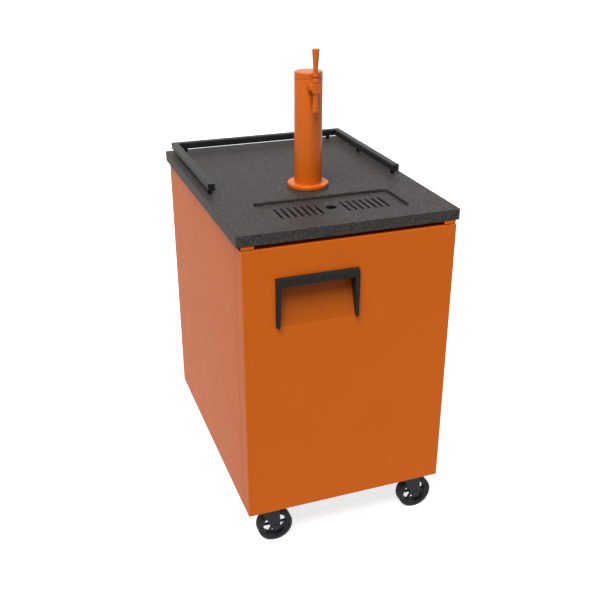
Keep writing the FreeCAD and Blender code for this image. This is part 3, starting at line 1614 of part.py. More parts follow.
def casters():
    """Four swivel casters: plate with kingpin, fork with its axle bolt, spoked wheel and tyre."""
    wheel = d.wheel_radius
    trail = d.caster_trail
    half = d.wheel_width / 2
    leg_in = half + d.leg_clear
    leg_out = leg_in + d.leg_sheet
    crown = wheel * 2 + 3
    race_top = d.caster_height - d.plate_sheet
    fit = d.running_fit
    head = d.axle_head
    axle_runs = ((leg_out + head, head, True), (leg_out, leg_out * 2, False), (-leg_out, head, True))
    plates = []
    for name, x, y, inward in caster_points():
        item = place(new_body("CasterPlate"), x, y, 0)
        reach_x = d.plate_length / 2
        ends = sorted([-d.plate_nose * inward, d.plate_tail * inward], key=plain)
        sketch = sketch_on(item, "XY_Plane", race_top)
        rounded(sketch, -reach_x, ends[0], reach_x, ends[1], 8)
        for centre in bolt_points(as_size(0), as_size(0), inward):
            circle(sketch, centre, d.plate_hole)
        pad(item, sketch, d.plate_sheet)
        sketch = sketch_on(item, "XZ_Plane")
        low = crown + d.race_gap + 8
        points = [(0, crown + 1), (d.kingpin_radius, crown + 1), (d.kingpin_radius, low), (d.race_radius - 3, low),
                  (d.race_radius, low + 4), (d.race_radius, race_top), (0, race_top)]
        polygon(sketch, points)
        revolve(item, sketch)
        plates.append(item)

        fork = place(new_body("Fork"), x, y, 0)
        sketch = sketch_on(fork, "XY_Plane", crown)
        rounded(sketch, -24, -leg_out, 32, leg_out, 6)
        pad(fork, sketch, 4)
        sketch = sketch_on(fork, "XY_Plane", crown + 4)
        circle(sketch, (0, 0), d.race_radius - 2)
        pad(fork, sketch, 4)
        for inner, back in ((leg_in, False), (-leg_out, False)):
            sketch = sketch_on(fork, "XZ_Plane", inner)
            points = [(-22, crown + 3), (trail - 12, wheel), (trail + 12, wheel), (30, crown + 3)]
            polygon(sketch, points)
            pad(fork, sketch, d.leg_sheet)
            sketch = sketch_on(fork, "XZ_Plane", inner)
            circle(sketch, (trail, wheel), 12)
            pad(fork, sketch, d.leg_sheet)
        sketch = sketch_on(fork, "XZ_Plane", leg_out)
        circle(sketch, (trail, wheel), d.axle_radius + fit)
        pocket(fork, sketch, leg_out * 2)
        sketch = sketch_on(fork, "XY_Plane", crown + 8)
        circle(sketch, (0, 0), d.kingpin_radius + fit)
        pocket(fork, sketch, 8)

        axle = place(new_body("Axle"), x + trail, y, wheel)
        for start, length, sides in axle_runs:
            sketch = sketch_on(axle, "XZ_Plane", start)
            if sides:
                polygon(sketch, hexagon(d.axle_head_radius))
            else:
                circle(sketch, (0, 0), d.axle_radius)
            pad(axle, sketch, length, back=True)
        keep(group(f"caster_fork_{name}", [fork, axle]), f"caster_fork_{name}")

        core = place(new_body("Core"), x + trail, y, wheel)
        rim = wheel - d.tyre_depth
        web = d.web_thickness / 2
        sketch = sketch_on(core, "YZ_Plane")
        hub = half + 1
        points = [
            (-hub, d.axle_radius + fit),
            (hub, d.axle_radius + fit),
            (hub, d.hub_radius),
            (web, d.hub_radius),
            (web, rim - d.rim_depth),
            (half - 3, rim - d.rim_depth),
            (half - 3, rim),
            (3 - half, rim),
            (3 - half, rim - d.rim_depth),
            (-web, rim - d.rim_depth),
            (-web, d.hub_radius),
            (-hub, d.hub_radius),
        ]
        polygon(sketch, points)
        revolve(core, sketch, "H_Axis")
        sketch = sketch_on(core, "XZ_Plane", -web - 1)
        inner_r = d.hub_radius + 1.5
        outer_r = rim - d.rim_depth - 1
        angle = math.pi / plain(d.spokes)
        narrow = inner_r * math.tan(angle) - d.spoke_width / 2 / math.cos(angle)
        wide = outer_r * math.sin(angle) - d.spoke_width / 2
        window = [(-narrow, inner_r), (narrow, inner_r), (wide, outer_r * math.cos(angle)), (0, outer_r),
                  (-wide, outer_r * math.cos(angle))]
        polygon(sketch, window)
        opening = pocket(core, sketch, d.web_thickness + 2, back=True)
        ring_pattern(core, opening, "Y_Axis", d.spokes)
        keep(core, f"caster_core_{name}")

        tyre = place(new_body("Tyre"), x + trail, y, wheel)
        sketch = sketch_on(tyre, "YZ_Plane")
        seat = rim + d.running_fit
        points = [(-half, seat), (half, seat), (half, wheel - 4), (half - 1.4, wheel - 1.4), (half - 4, wheel),
                  (4 - half, wheel), (1.4 - half, wheel - 1.4), (-half, wheel - 4)]
        polygon(sketch, points)
        revolve(tyre, sketch, "H_Axis")
        keep(tyre, f"caster_tyre_{name}")
    keep(group("caster_plates", plates), "caster_plates")


for side_label, side_sign in (("left_side_panel", -1), ("right_side_panel", 1)):
    side_panel(side_label, side_sign)
cabinet_foam()
keg_liner()
breaker_frame()
keg_floor_plate()
base_pan()
rear_grille()
countertop()
counter_core()
drip_pan()
drip_grate()
drain_hose()
guard_rail()
tower()
faucet()
door_outer_panel()
door_inside()
door_scoop()
door_handle()
hinges()
compressor()
condenser()
evaporator()
thermostat()
refrigerant_lines()
casters()
doc.recompute()

for item in doc.Objects:
    if "Invalid" in item.State or "Error" in item.State:
        owners = [parent.Label for parent in item.InListRecursive]
        raise RuntimeError(f"{item.Label} of {owners} failed: {item.State}")
os.makedirs("parts", exist_ok=True)
for label, item in nodes.items():
    shape = item.Shape
    if shape.isNull() or not shape.isValid():
        raise RuntimeError(f"{label} has no sound shape")
    shape.exportStep(f"parts/{label}.step")
print(len(nodes), "pieces written")
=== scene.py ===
import json
import logging
import math
from dataclasses import dataclass
from enum import Enum
from typing import Callable, Sequence

import bpy
import numpy as np
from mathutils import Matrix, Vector


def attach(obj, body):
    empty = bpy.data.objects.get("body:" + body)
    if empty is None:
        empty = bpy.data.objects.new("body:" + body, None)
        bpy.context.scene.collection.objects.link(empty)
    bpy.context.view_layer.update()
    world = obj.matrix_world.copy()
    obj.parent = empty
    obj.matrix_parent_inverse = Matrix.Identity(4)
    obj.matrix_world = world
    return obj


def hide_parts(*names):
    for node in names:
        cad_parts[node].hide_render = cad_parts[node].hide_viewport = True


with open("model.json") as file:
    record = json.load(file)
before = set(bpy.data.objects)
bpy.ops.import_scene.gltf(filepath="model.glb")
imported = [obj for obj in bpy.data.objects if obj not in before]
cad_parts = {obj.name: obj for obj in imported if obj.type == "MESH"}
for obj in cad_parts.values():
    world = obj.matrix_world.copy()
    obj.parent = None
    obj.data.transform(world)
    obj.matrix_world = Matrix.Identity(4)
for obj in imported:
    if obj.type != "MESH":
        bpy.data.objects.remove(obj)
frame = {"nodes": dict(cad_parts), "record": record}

LOG = logging.getLogger("keg_cooler")
MM = 0.001
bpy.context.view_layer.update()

WHITE = (1.0, 1.0, 1.0, 1.0)
# Edge wear: radius of the rim that it shows on, its samples, and how far the normal turns there
RIM_RADIUS = 1.2
RIM_SAMPLES = 4
FLAT_FACING = 0.995
RIM_FACING = 0.85

Profile = Sequence[tuple[float, float]]


class Relief(Enum):
    """How the real surface was made, which decides its bump."""

    ORANGE_PEEL = "sprayed powder that flowed in the oven"
    GRIT = "textured powder with raised grains"
    GRAIN = "spark-eroded mould grain"
    BRUSHED = "drawn along one way by an abrasive belt"
    SPANGLE = "zinc crystals from a hot dip"
    CELLS = "cut foam cells"


def linear(colour: str) -> tuple[float, float, float, float]:
    """Turns an sRGB hex colour into linear light.

    Args:
        colour: Six hex digits after a hash.

    Returns:
        Red, green, blue and an alpha of 1.
    """
    parts = np.array([int(colour[i:i + 2], 16) for i in (1, 3, 5)]) / 255.0
    light = np.where(parts <= 0.04045, parts / 12.92, ((parts + 0.055) / 1.055) ** 2.4)
    return float(light[0]), float(light[1]), float(light[2]), 1.0


def add_node(tree: bpy.types.NodeTree, kind: str, inputs: dict | None = None, **settings) -> bpy.types.Node:
    """Adds one node with its settings, values and links.

    Args:
        tree: Node tree that gets the node.
        kind: Type of the node, without its ShaderNode prefix.
        inputs: Input name or number to a value, or to the socket that feeds it.
        **settings: Attributes of the node.

    Returns:
        The new node.
    """
    node = tree.nodes.new("ShaderNode" + kind)
    for name, value in settings.items():
        setattr(node, name, value)
    for name, value in (inputs or {}).items():
        if isinstance(value, bpy.types.NodeSocket):
            tree.links.new(value, node.inputs[name])
        else:
            node.inputs[name].default_value = value
    return node


def blended(
    tree: bpy.types.NodeTree,
    share: bpy.types.NodeSocket,
    first: bpy.types.NodeSocket | tuple[float, ...],
    second: tuple[float, ...],
) -> bpy.types.NodeSocket:
    """Mixes two colours.

    Args:
        tree: Node tree that gets the mix.
        share: Socket with the second colour's share.
        first: Colour, or the socket that gives it.
        second: Colour that is mixed in.

    Returns:
        Socket with the mixed colour.
    """
    return add_node(tree, "Mix", {0: share, 6: first, 7: second}, data_type="RGBA").outputs[2]


def recoloured(
    material: bpy.types.Material, second: tuple[float, ...], share: Callable[..., bpy.types.NodeSocket]
) -> bpy.types.Material:
    """Mixes one more colour into a finished material.

    Args:
        material: Material whose shader gets the colour.
        second: Colour that is mixed in.
        share: Adds the nodes of its share, from the tree and the socket with the point on the object.

    Returns:
        The same material.
    """
    tree = material.node_tree
    shader = next(node for node in tree.nodes if node.type == "BSDF_PRINCIPLED")
    base = shader.inputs["Base Color"].links[0].from_socket
    place = next(node for node in tree.nodes if node.type == "TEX_COORD").outputs["Object"]
    tree.links.new(blended(tree, share(tree, place), base, second), shader.inputs["Base Color"])
    return material


@dataclass(frozen=True)
class Finish:
    """One real finish: its colours, gloss and the relief that its making leaves.

    Sizes are in millimetres on the object. The edge colour shows where handling has thinned the finish.
    """

    name: str
    colour: str
    shade: str
    edge: str
    roughness: float
    relief: Relief
    relief_mm: float
    depth_mm: float
    shade_mm: float = 120.0
    spread: float = 0.06
    metallic: float = 0.0
    ior: float = 1.5
    coat: float = 0.0
    edge_share: float = 0.35
    subsurface: float = 0.0
    specular: float = 0.25
    brush: tuple[float, float, float] = (1.0, 1.0, 1.0)

    def build(self) -> bpy.types.Material:
        """Makes the node tree: shade drifts over the piece, relief raises it, and edges wear paler.

        Returns:
            The material.
        """
        material = bpy.data.materials.new(self.name)
        material.use_nodes = True
        tree = material.node_tree
        tree.nodes.clear()
        place = add_node(tree, "TexCoord").outputs["Object"]
        drift = add_node(
            tree, "TexNoise", {"Vector": place, "Scale": 1.0 / (self.shade_mm * MM), "Detail": 3.0}
        )
        colour = blended(tree, drift.outputs["Fac"], linear(self.colour), linear(self.shade))
        height = self.height(tree, place)
        rim = add_node(tree, "Bevel", {"Radius": RIM_RADIUS * MM}, samples=RIM_SAMPLES)
        flat = add_node(tree, "NewGeometry")
        facing = add_node(
            tree, "VectorMath", {0: rim.outputs["Normal"], 1: flat.outputs["Normal"]}, operation="DOT_PRODUCT"
        )
        worn = add_node(
            tree,
            "MapRange",
            {"Value": facing.outputs["Value"], "From Min": FLAT_FACING, "From Max": RIM_FACING, "To Min": 0.0,
             "To Max": self.edge_share},
        )
        colour = blended(tree, worn.outputs["Result"], colour, linear(self.edge))
        gloss = add_node(
            tree,
            "MapRange",
            {"Value": drift.outputs["Fac"], "To Min": self.roughness - self.spread / 2,
             "To Max": self.roughness + self.spread / 2},
        )
        bump = add_node(
            tree,
            "Bump",
            {"Height": height, "Distance": self.depth_mm * MM, "Strength": 1.0,
             "Normal": rim.outputs["Normal"]},
        )
        shader = add_node(
            tree,
            "BsdfPrincipled",
            {
                "Base Color": colour,
                "Roughness": gloss.outputs["Result"],
                "Normal": bump.outputs["Normal"],
                "Metallic": self.metallic,
                "IOR": self.ior,
                "Specular IOR Level": 0.5 if self.metallic else self.specular,
                "Coat Weight": self.coat,
                "Subsurface Weight": self.subsurface,
            },
        )
        add_node(tree, "OutputMaterial", {"Surface": shader.outputs["BSDF"]})
        material.diffuse_color = linear(self.colour)
        return material

    def height(self, tree: bpy.types.NodeTree, place: bpy.types.NodeSocket) -> bpy.types.NodeSocket:
        """Adds the relief's height.

        Args:
            tree: Node tree of the material.
            place: Socket with the point on the object.

        Returns:
            Socket with a height from 0 to 1.
        """
        scale = 1.0 / (self.relief_mm * MM)
        if self.relief is Relief.BRUSHED:
            stretched = add_node(tree, "Mapping", {"Vector": place, "Scale": self.brush})
            lines = add_node(
                tree, "TexNoise", {"Vector": stretched.outputs["Vector"], "Scale": scale, "Detail": 2.0}
            )
            return lines.outputs["Fac"]
        if self.relief in (Relief.SPANGLE, Relief.CELLS):
            cells = add_node(tree, "TexVoronoi", {"Vector": place, "Scale": scale})
            return cells.outputs["Distance"]
        detail = 4.0 if self.relief is Relief.GRIT else 1.0
        grains = add_node(
            tree, "TexNoise", {"Vector": place, "Scale": scale, "Detail": detail, "Roughness": 0.6}
        )
        return grains.outputs["Fac"]


@dataclass(frozen=True)
class SpeckledCoat(Finish):
    """Textured powder: grains stand up dark and pale, so the coat reads as fine speckle.

    The real grains are about 1 mm. The speckle is drawn at 4 mm, the finest that shows in the render.
    """

    speckle_mm: float = 4.0
    fleck: str = "#4a4642"
    fleck_low: float = 0.44
    fleck_high: float = 0.66
    fleck_share: float = 0.75

    def build(self) -> bpy.types.Material:
        """Adds pale flecks to the plain coat's colour.

        Returns:
            The material.
        """
        return recoloured(super().build(), linear(self.fleck), self.flecks)

    def flecks(self, tree: bpy.types.NodeTree, place: bpy.types.NodeSocket) -> bpy.types.NodeSocket:
        """Adds the flecks' share: high noise gives a fleck.

        Args:
            tree: Node tree of the material.
            place: Socket with the point on the object.

        Returns:
            Socket with a share from 0 to fleck_share.
        """
        scale = 1.0 / (self.speckle_mm * MM)
        grains = add_node(
            tree, "TexNoise", {"Vector": place, "Scale": scale, "Detail": 2.0, "Roughness": 0.7}
        )
        return add_node(
            tree,
            "MapRange",
            {"Value": grains.outputs["Fac"], "From Min": self.fleck_low, "From Max": self.fleck_high,
             "To Min": 0.0, "To Max": self.fleck_share},
        ).outputs["Result"]


@dataclass(frozen=True)
class PaintedShadeCoat(Finish):
    """Powder coat with painted shade: a darker colour is blended in up the pocket, where the pull's bar
    shades it.

    The two heights are in metres on the object.
    """

    # Painted shade is full at the first height and fades out by the second
    full_shade_height: float = 0.825
    shade_start_height: float = 0.700
    # The deep colour is painted shade, not a colour of the coat
    deep: str = "#8a4210"

    def build(self) -> bpy.types.Material:
        """Paints shade into the coat, darker from the pocket's rim up to its deep end.

        Returns:
            The material.
        """
        # Mixes the painted shade into the coat's colour by height
        return recoloured(super().build(), linear(self.deep), self.depth)

    def depth(self, tree: bpy.types.NodeTree, place: bpy.types.NodeSocket) -> bpy.types.NodeSocket:
        """Adds the share of the painted shade colour, which rises smoothly with height in the pocket.

        Args:
            tree: Node tree of the material.
            place: Socket with the point on the object.

        Returns:
            Socket with a share from 0 to 1.
        """
        height = add_node(tree, "SeparateXYZ", {"Vector": place}).outputs["Z"]
        return add_node(
            tree,
            "MapRange",
            {"Value": height, "From Min": self.shade_start_height, "From Max": self.full_shade_height},
            interpolation_type="SMOOTHSTEP",
        ).outputs["Result"]


# Polyester powder coat, sprayed and baked: a soft orange peel about 2 mm across, and a plastic's gloss
CABINET_COAT = Finish(
    "cabinet_powder_coat", "#c25c0e", "#bb580c", "#d0742c", 0.42, Relief.ORANGE_PEEL, 2.4, 0.05,
    specular=0.1,
)
# The same coat inside the pull's pocket, a little rougher, with its colours drawn darker as painted shade
POCKET_COAT_PAINTED_SHADE = PaintedShadeCoat(
    "pocket_coat_painted_shade", "#a8500e", "#a24c0c", "#b8622a", 0.5, Relief.ORANGE_PEEL, 2.4, 0.05, specular=0.1
)
# The tower's coat is the same powder, laid thicker and cured to a higher gloss
TOWER_COAT = Finish(
    "tower_powder_coat", "#c65d0d", "#c0590b", "#da7c30", 0.3, Relief.ORANGE_PEEL, 1.8, 0.03, coat=0.05,
    specular=0.2,
)
# Textured powder on the worktop: hard raised grains that scatter light and hide scratches
WORKTOP_COAT = SpeckledCoat(
    "textured_powder_coat", "#1b1816", "#211d1b", "#332f2c", 0.55, Relief.GRIT, 1.2, 0.12,
    shade_mm=60.0, specular=0.25,
)
# Satin black powder coat on the rail
RAIL_COAT = Finish(
    "satin_black_coat", "#191a1b", "#1f2021", "#434446", 0.42, Relief.ORANGE_PEEL, 1.6, 0.04, specular=0.2
)
# ABS moulded in a spark-eroded tool
BLACK_ABS = Finish(
    "moulded_black_abs", "#1b1c1c", "#212222", "#3c3d3e", 0.46, Relief.GRAIN, 0.9, 0.05,
    ior=1.54, specular=0.12,
)
# Zinc-plated steel with a black passivation
BLACK_ZINC = Finish(
    "black_zinc_steel", "#1b1b1d", "#26262a", "#6a6a6e", 0.36, Relief.GRAIN, 1.2, 0.03,
    metallic=0.5, edge_share=0.5,
)
NYLON = Finish("moulded_black_nylon", "#202124", "#27282b", "#3f4044", 0.5, Relief.GRAIN, 1.0, 0.04, ior=1.53)
# Thermoplastic rubber tread, slightly dusty at its edges
TYRE_RUBBER = Finish("tyre_rubber", "#242322", "#2e2c2a", "#4b4845", 0.72, Relief.GRAIN, 0.8, 0.06, ior=1.52)
SEAL_RUBBER = Finish("seal_rubber", "#2a2a2a", "#333333", "#505050", 0.62, Relief.GRAIN, 0.8, 0.03, ior=1.52)
# High-impact polystyrene liner, vacuum formed over a satin tool
LINER = Finish(
    "formed_polystyrene", "#e4e4df", "#dcdcd6", "#f2f2ee", 0.34, Relief.ORANGE_PEEL, 3.0, 0.04, ior=1.59
)
# Polyurethane foam, cut through its cells
FOAM = Finish("polyurethane_foam", "#d8c493", "#cdb985", "#e2d1a6", 0.9, Relief.CELLS, 1.0, 0.4)
# 304 stainless sheet, belt brushed along X
STAINLESS = Finish(
    "brushed_stainless", "#b9babb", "#adaeb0", "#dcdcdc", 0.27, Relief.BRUSHED, 0.6, 0.02, metallic=1.0,
    brush=(0.02, 1.0, 1.0), edge_share=0.2,
)
GALVANISED = Finish(
    "galvanised_sheet", "#9fa3a5", "#8f9497", "#c4c7c9", 0.42, Relief.SPANGLE, 9.0, 0.03,
    metallic=0.9, shade_mm=12.0,
)
ALUMINIUM = Finish(
    "fin_aluminium", "#c3c6c8", "#b4b8bb", "#dddfe0", 0.34, Relief.GRAIN, 1.0, 0.02, metallic=1.0
)
COPPER = Finish("drawn_copper", "#b4694a", "#a65e40", "#d08f70", 0.3, Relief.GRAIN, 1.4, 0.02, metallic=1.0)
BRASS = Finish("turned_brass", "#b08d4a", "#a38141", "#d2b479", 0.28, Relief.GRAIN, 1.0, 0.02, metallic=1.0)
ENAMEL = Finish("black_enamel", "#17181a", "#1f2023", "#3c3d40", 0.3, Relief.ORANGE_PEEL, 2.2, 0.05, coat=0.2)
BOARD = Finish(
    "sealed_plywood", "#8a6b45", "#7b5e3b", "#a5875f", 0.6, Relief.BRUSHED, 1.2, 0.1, brush=(0.05, 1.0, 1.0)
)
VINYL = Finish(
    "clear_vinyl", "#c9cac2", "#bfc0b8", "#dedfd9", 0.22, Relief.ORANGE_PEEL, 2.0, 0.01, subsurface=0.2
)
WHITE_NYLON = Finish("moulded_white_nylon", "#dddcd4", "#d3d2ca", "#efeee8", 0.42, Relief.GRAIN, 1.0, 0.02)

SLOT_FINISH: dict[str, Finish] = {
    "cabinet_paint": CABINET_COAT,
    "tower_paint": TOWER_COAT,
    "worktop_black": WORKTOP_COAT,
    "rail_black": RAIL_COAT,
    "caster_steel": BLACK_ZINC,
    "caster_core": NYLON,
    "caster_tyre": TYRE_RUBBER,
    "black_plastic": BLACK_ABS,
    "liner_plastic": LINER,
    "foam": FOAM,
    "core_board": BOARD,
    "stainless": STAINLESS,
    "galvanised_sheet": GALVANISED,
    "brass_nut": BRASS,
    "copper_tube": COPPER,
    "coil_aluminium": ALUMINIUM,
    "compressor_enamel": ENAMEL,
    "fan_plastic": BLACK_ABS,
    "seal_rubber": SEAL_RUBBER,
    "hose_vinyl": VINYL,
    "white_nylon": WHITE_NYLON,
}


class Axis(Enum):
    """Axis that a turned piece goes round, and the way its height runs."""

    Y = "towards -Y"
    Z = "towards +Z"


class Dresser:
    """Holds the finishes, and turns arrays of points into finished pieces."""

    def __init__(self) -> None:
        """Starts with no finishes built."""
        self.built: dict[str, bpy.types.Material] = {}

    def material(self, finish: Finish) -> bpy.types.Material:
        """Gives the material of one finish, building it once."""
        if finish.name not in self.built:
            self.built[finish.name] = finish.build()
        return self.built[finish.name]

    def dress_nodes(self) -> None:
        """Gives every CAD node the finish of its slot."""
        for entry in frame["record"]["subparts"]:
            node = frame["nodes"][entry["node"]]
            node.data.materials.clear()
            node.data.materials.append(self.material(SLOT_FINISH[entry["material_slot"]]))

    def piece(
        self,
        name: str,
        points: np.ndarray,
        faces: np.ndarray | list[Sequence[int]],
        body: str,
        slot: str,
        replaces: Sequence[str] = (),
        smooth: float = 35.0,
        finish: Finish | None = None,
    ) -> bpy.types.Object:
        """Makes one finished piece.

        Args:
            name: Name of the piece.
            points: Corner points in metres, one row each.
            faces: Corner numbers of each face.
            body: CAD body that the piece rides on.
            slot: Material slot that it takes its finish from.
            replaces: CAD nodes that it stands for.
            smooth: Angle in degrees below which an edge is shaded smooth.
            finish: Finish to use instead of the slot's own.

        Returns:
            The new object.
        """
        mesh = bpy.data.meshes.new(name)
        mesh.from_pydata(np.asarray(points, float), [], [tuple(int(i) for i in face) for face in faces])
        mesh.validate()
        mesh.polygons.foreach_set("use_smooth", np.ones(len(mesh.polygons), bool))
        mesh.set_sharp_from_angle(angle=math.radians(smooth))
        mesh.materials.append(self.material(finish or SLOT_FINISH[slot]))
        piece = bpy.data.objects.new(name, mesh)
        bpy.context.scene.collection.objects.link(piece)
        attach(piece, body)
        if replaces:
            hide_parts(*replaces)
        LOG.info("%s: %d faces", name, len(mesh.polygons))
        return piece


def grid_faces(rows: int, columns: int, wrap_rows: bool, wrap_columns: bool) -> np.ndarray:
    """Numbers the four corners of every cell of a grid of points.

    Args:
        rows: Number of rows of points.
        columns: Number of points in a row.
        wrap_rows: Whether the last row joins the first.
        wrap_columns: Whether the last point of a row joins its first.

    Returns:
        One row of four corner numbers for each cell.
    """
    i = np.arange(rows if wrap_rows else rows - 1)[:, None]
    j = np.arange(columns if wrap_columns else columns - 1)[None, :]
    near = i * columns
    far = ((i + 1) % rows) * columns
    right = (j + 1) % columns
    cells = np.stack([near + j, near + right, far + right, far + j], axis=-1)
    return cells.reshape(-1, 4)


def rounded_profile(corners: Profile, radii: Sequence[float], steps: int = 5) -> np.ndarray:
    """Rounds the corners of an open or closed outline.

    Each corner becomes a quadratic curve whose ends lie one radius back along its two sides:
    point = (1 - t)^2 start + 2 t (1 - t) corner + t^2 end.

    Args:
        corners: Outline corners in order.
        radii: Radius at each corner, zero to keep it sharp.
        steps: Points along each rounded corner.

    Returns:
        Points of the outline, one row each.
    """
    outline = np.array(corners, float)
    count = len(outline)
    pieces = []
    t = np.linspace(0.0, 1.0, steps)[:, None]
    for k, radius in enumerate(radii):
        here = outline[k]
        if radius <= 0:
            pieces.append(here[None])
            continue
        back = outline[k - 1] - here
        ahead = outline[(k + 1) % count] - here
        start = here + back / np.linalg.norm(back) * radius
        end = here + ahead / np.linalg.norm(ahead) * radius
        pieces.append((1 - t) ** 2 * start + 2 * t * (1 - t) * here + t ** 2 * end)
    return np.vstack(pieces)


def turned(
    profile: np.ndarray, centre: Sequence[float], axis: Axis = Axis.Z, segments: int = 96, closed: bool = True
) -> tuple[np.ndarray, list]:
    """Turns an outline round an axis: point = centre + (r cos a, r sin a, h).

    Args:
        profile: Rows of radius and height in millimetres, with the solid on the left going up.
        centre: Point on the axis, in millimetres.
        axis: Axis that the outline turns about.
        segments: Number of steps round the axis.
        closed: Whether the outline is a ring, as for a bored piece. Otherwise its ends lie on the axis.

    Returns:
        Points in metres and the faces.
    """
    a = np.linspace(0.0, 2.0 * math.pi, segments, endpoint=False)[None, :]
    ring = np.asarray(profile, float)
    body = ring if closed else ring[1:-1]
    r = body[:, :1]
    h = np.broadcast_to(body[:, 1:], (len(body), segments))
    local = np.stack([r * np.cos(a), r * np.sin(a), h], axis=-1).reshape(-1, 3)
    faces = [tuple(face) for face in grid_faces(len(body), segments, closed, True)]
    if not closed:
        ends = np.array([[0.0, 0.0, ring[0, 1]], [0.0, 0.0, ring[-1, 1]]])
        low = len(local)
        local = np.vstack([local, ends])
        j = np.arange(segments)
        after = (j + 1) % segments
        top = (len(body) - 1) * segments
        faces += [(low, int(q), int(p)) for p, q in zip(j, after)]
        faces += [(low + 1, top + int(p), top + int(q)) for p, q in zip(j, after)]
    if axis is Axis.Y:
        local = np.stack([local[:, 0], -local[:, 2], local[:, 1]], axis=-1)
    return (local + np.array(centre)) * MM, faces


def combined(parts: Sequence[tuple[np.ndarray, list]]) -> tuple[np.ndarray, list]:
    """Puts several sets of points and faces into one."""
    points, faces, first = [], [], 0
    for some_points, some_faces in parts:
        points.append(some_points)
        faces += [tuple(int(i) + first for i in face) for face in some_faces]
        first += len(some_points)
    return np.vstack(points), faces


@dataclass
class Tower:
    """Round beer tower: flange, column and cap about one upright axis. Millimetres."""

    x: float = 0.0
    y: float = -76.0
    base: float = 958.0
    radius: float = 38.0
    wall: float = 1.6
    height: float = 312.0
    cap_height: float = 17.0
    flange_radius: float = 57.0
    flange_low: float = 1.5
    flange_top: float = 12.0
    bore: float = 30.0
    hole_z: float = 1234.0
    hole_radius: float = 8.3
    hole_reach: float = 12.0
    seat_gap: float = 0.05
    cap_gap: float = 0.4
    segments: int = 128

    def build(self, dresser: Dresser) -> None:
        """Builds the three pieces of the tower.

        Args:
            dresser: Maker of the finished pieces.
        """
        centre = (self.x, self.y, self.base)
        flange = rounded_profile(
            [(self.bore, self.flange_low), (self.flange_radius, self.flange_low),
             (self.flange_radius, self.flange_top), (self.bore, self.flange_top)],
            [0, 0.6, 4.0, 0.5],
            8,
        )
        dresser.piece(
            "tower_flange_turned", *turned(flange, centre, segments=self.segments), "cabinet", "tower_paint",
            ["tower_flange"],
        )
        low = self.flange_top + self.seat_gap
        high = self.height - self.cap_height
        inner = self.radius - self.wall
        column = rounded_profile(
            [(inner, low), (self.radius, low), (self.radius, high), (inner, high)], [0, 0, 0.7, 0], 4
        )
        tube = dresser.piece(
            "tower_column_turned", *turned(column, centre, segments=self.segments), "cabinet", "tower_paint",
            ["tower_column"],
        )
        self.drill(tube)
        cap = rounded_profile(
            [(0, high + self.cap_gap), (self.radius, high + self.cap_gap), (self.radius, self.height),
             (0, self.height)],
            [0, 0.7, 2.6, 0],
            7,
        )
        dresser.piece(
            "tower_cap_turned", *turned(cap, centre, segments=self.segments, closed=False), "cabinet",
            "tower_paint", ["tower_cap"],
        )


    def drill(self, tube: bpy.types.Object) -> None:
        """Drills the hole that the faucet's shank passes through.

        Args:
            tube: The column.
        """
        front = self.y - self.radius
        outline = np.array([(0, -self.hole_reach), (self.hole_radius, -self.hole_reach),
                            (self.hole_radius, self.hole_reach), (0, self.hole_reach)], float)
        points, faces = turned(outline, (self.x, front, self.hole_z), Axis.Y, 64, closed=False)
        mesh = bpy.data.meshes.new("shank_drill")
        mesh.from_pydata(points, [], faces)
        drill = bpy.data.objects.new("shank_drill", mesh)
        bpy.context.scene.collection.objects.link(drill)
        cut = tube.modifiers.new("shank_hole", "BOOLEAN")
        cut.solver = "EXACT"
        cut.object = drill
        graph = bpy.context.evaluated_depsgraph_get()
        drilled = bpy.data.meshes.new_from_object(tube.evaluated_get(graph))
        tube.modifiers.clear()
        tube.data = drilled
        drilled.set_sharp_from_angle(angle=math.radians(35.0))
        bpy.data.objects.remove(drill)


@dataclass
class Faucet:
    """Turned pieces of the beer faucet in front of the tower: coupling nut and tap handle. Millimetres."""

    wall_y: float = -114.0
    axis_z: float = 1234.0
    middle: float = -15.0
    nut_face: float = -6.4
    nut_back: float = -3.0
    nut_radius: float = 16.0
    nut_bore: float = 8.05
    nut_rim: float = 0.7
    notch_depth: float = 1.8
    notch_angle: float = 0.1
    notch_count: int = 6

    def build(self, dresser: Dresser) -> None:
        """Builds the two pieces.

        Args:
            dresser: Maker of the finished pieces.
        """
        self.handle(dresser)
        self.nut(dresser)

    def handle(self, dresser: Dresser) -> None:
        """Tapered tap handle: a threaded hole, a ferrule at its foot, then a long cone up to a soft rim."""
        centre = (0.0, self.wall_y + self.middle, self.axis_z)
        outline = rounded_profile(
            [(0, 43), (3.25, 43), (3.25, 30), (6.5, 30), (6.5, 34), (5.7, 36), (7.1, 58), (10.0, 97.0),
             (9.6, 100.0), (0, 100.0)],
            [0, 0, 0, 0.6, 0.6, 0.8, 6.0, 1.2, 1.4, 0],
            6,
        )
        dresser.piece(
            "tap_handle_turned", *turned(outline, centre, segments=64, closed=False), "lever", "tower_paint",
            ["tap_handle"],
        )

    def nut(self, dresser: Dresser) -> None:
        """Coupling nut: its radius dips into six round notches, r = R - d exp(-(s / w)^2) by angle s."""
        a = np.linspace(0.0, 2.0 * math.pi, 180, endpoint=False)
        half_step = math.pi / self.notch_count
        off = (a + half_step) % (2.0 * half_step) - half_step
        dip = self.notch_depth * np.exp(-((off / self.notch_angle) ** 2))
        outline = rounded_profile(
            [(self.nut_bore, self.nut_face), (self.nut_radius, self.nut_face),
             (self.nut_radius, self.nut_back), (self.nut_bore, self.nut_back)],
            [0, self.nut_rim, self.nut_rim, 0],
            4,
        )
        r = outline[:, :1] - dip[None, :] * (outline[:, :1] > self.nut_radius - 2)
        y = np.broadcast_to(outline[:, 1:], r.shape)
        points = np.stack([r * np.cos(a), y, r * np.sin(a)], axis=-1).reshape(-1, 3)
        points = (points + np.array([0.0, self.wall_y, self.axis_z])) * MM
        faces = grid_faces(len(outline), len(a), True, True)[:, ::-1]
        dresser.piece("coupling_nut_notched", points, faces, "cabinet", "tower_paint", ["coupling_nut"])


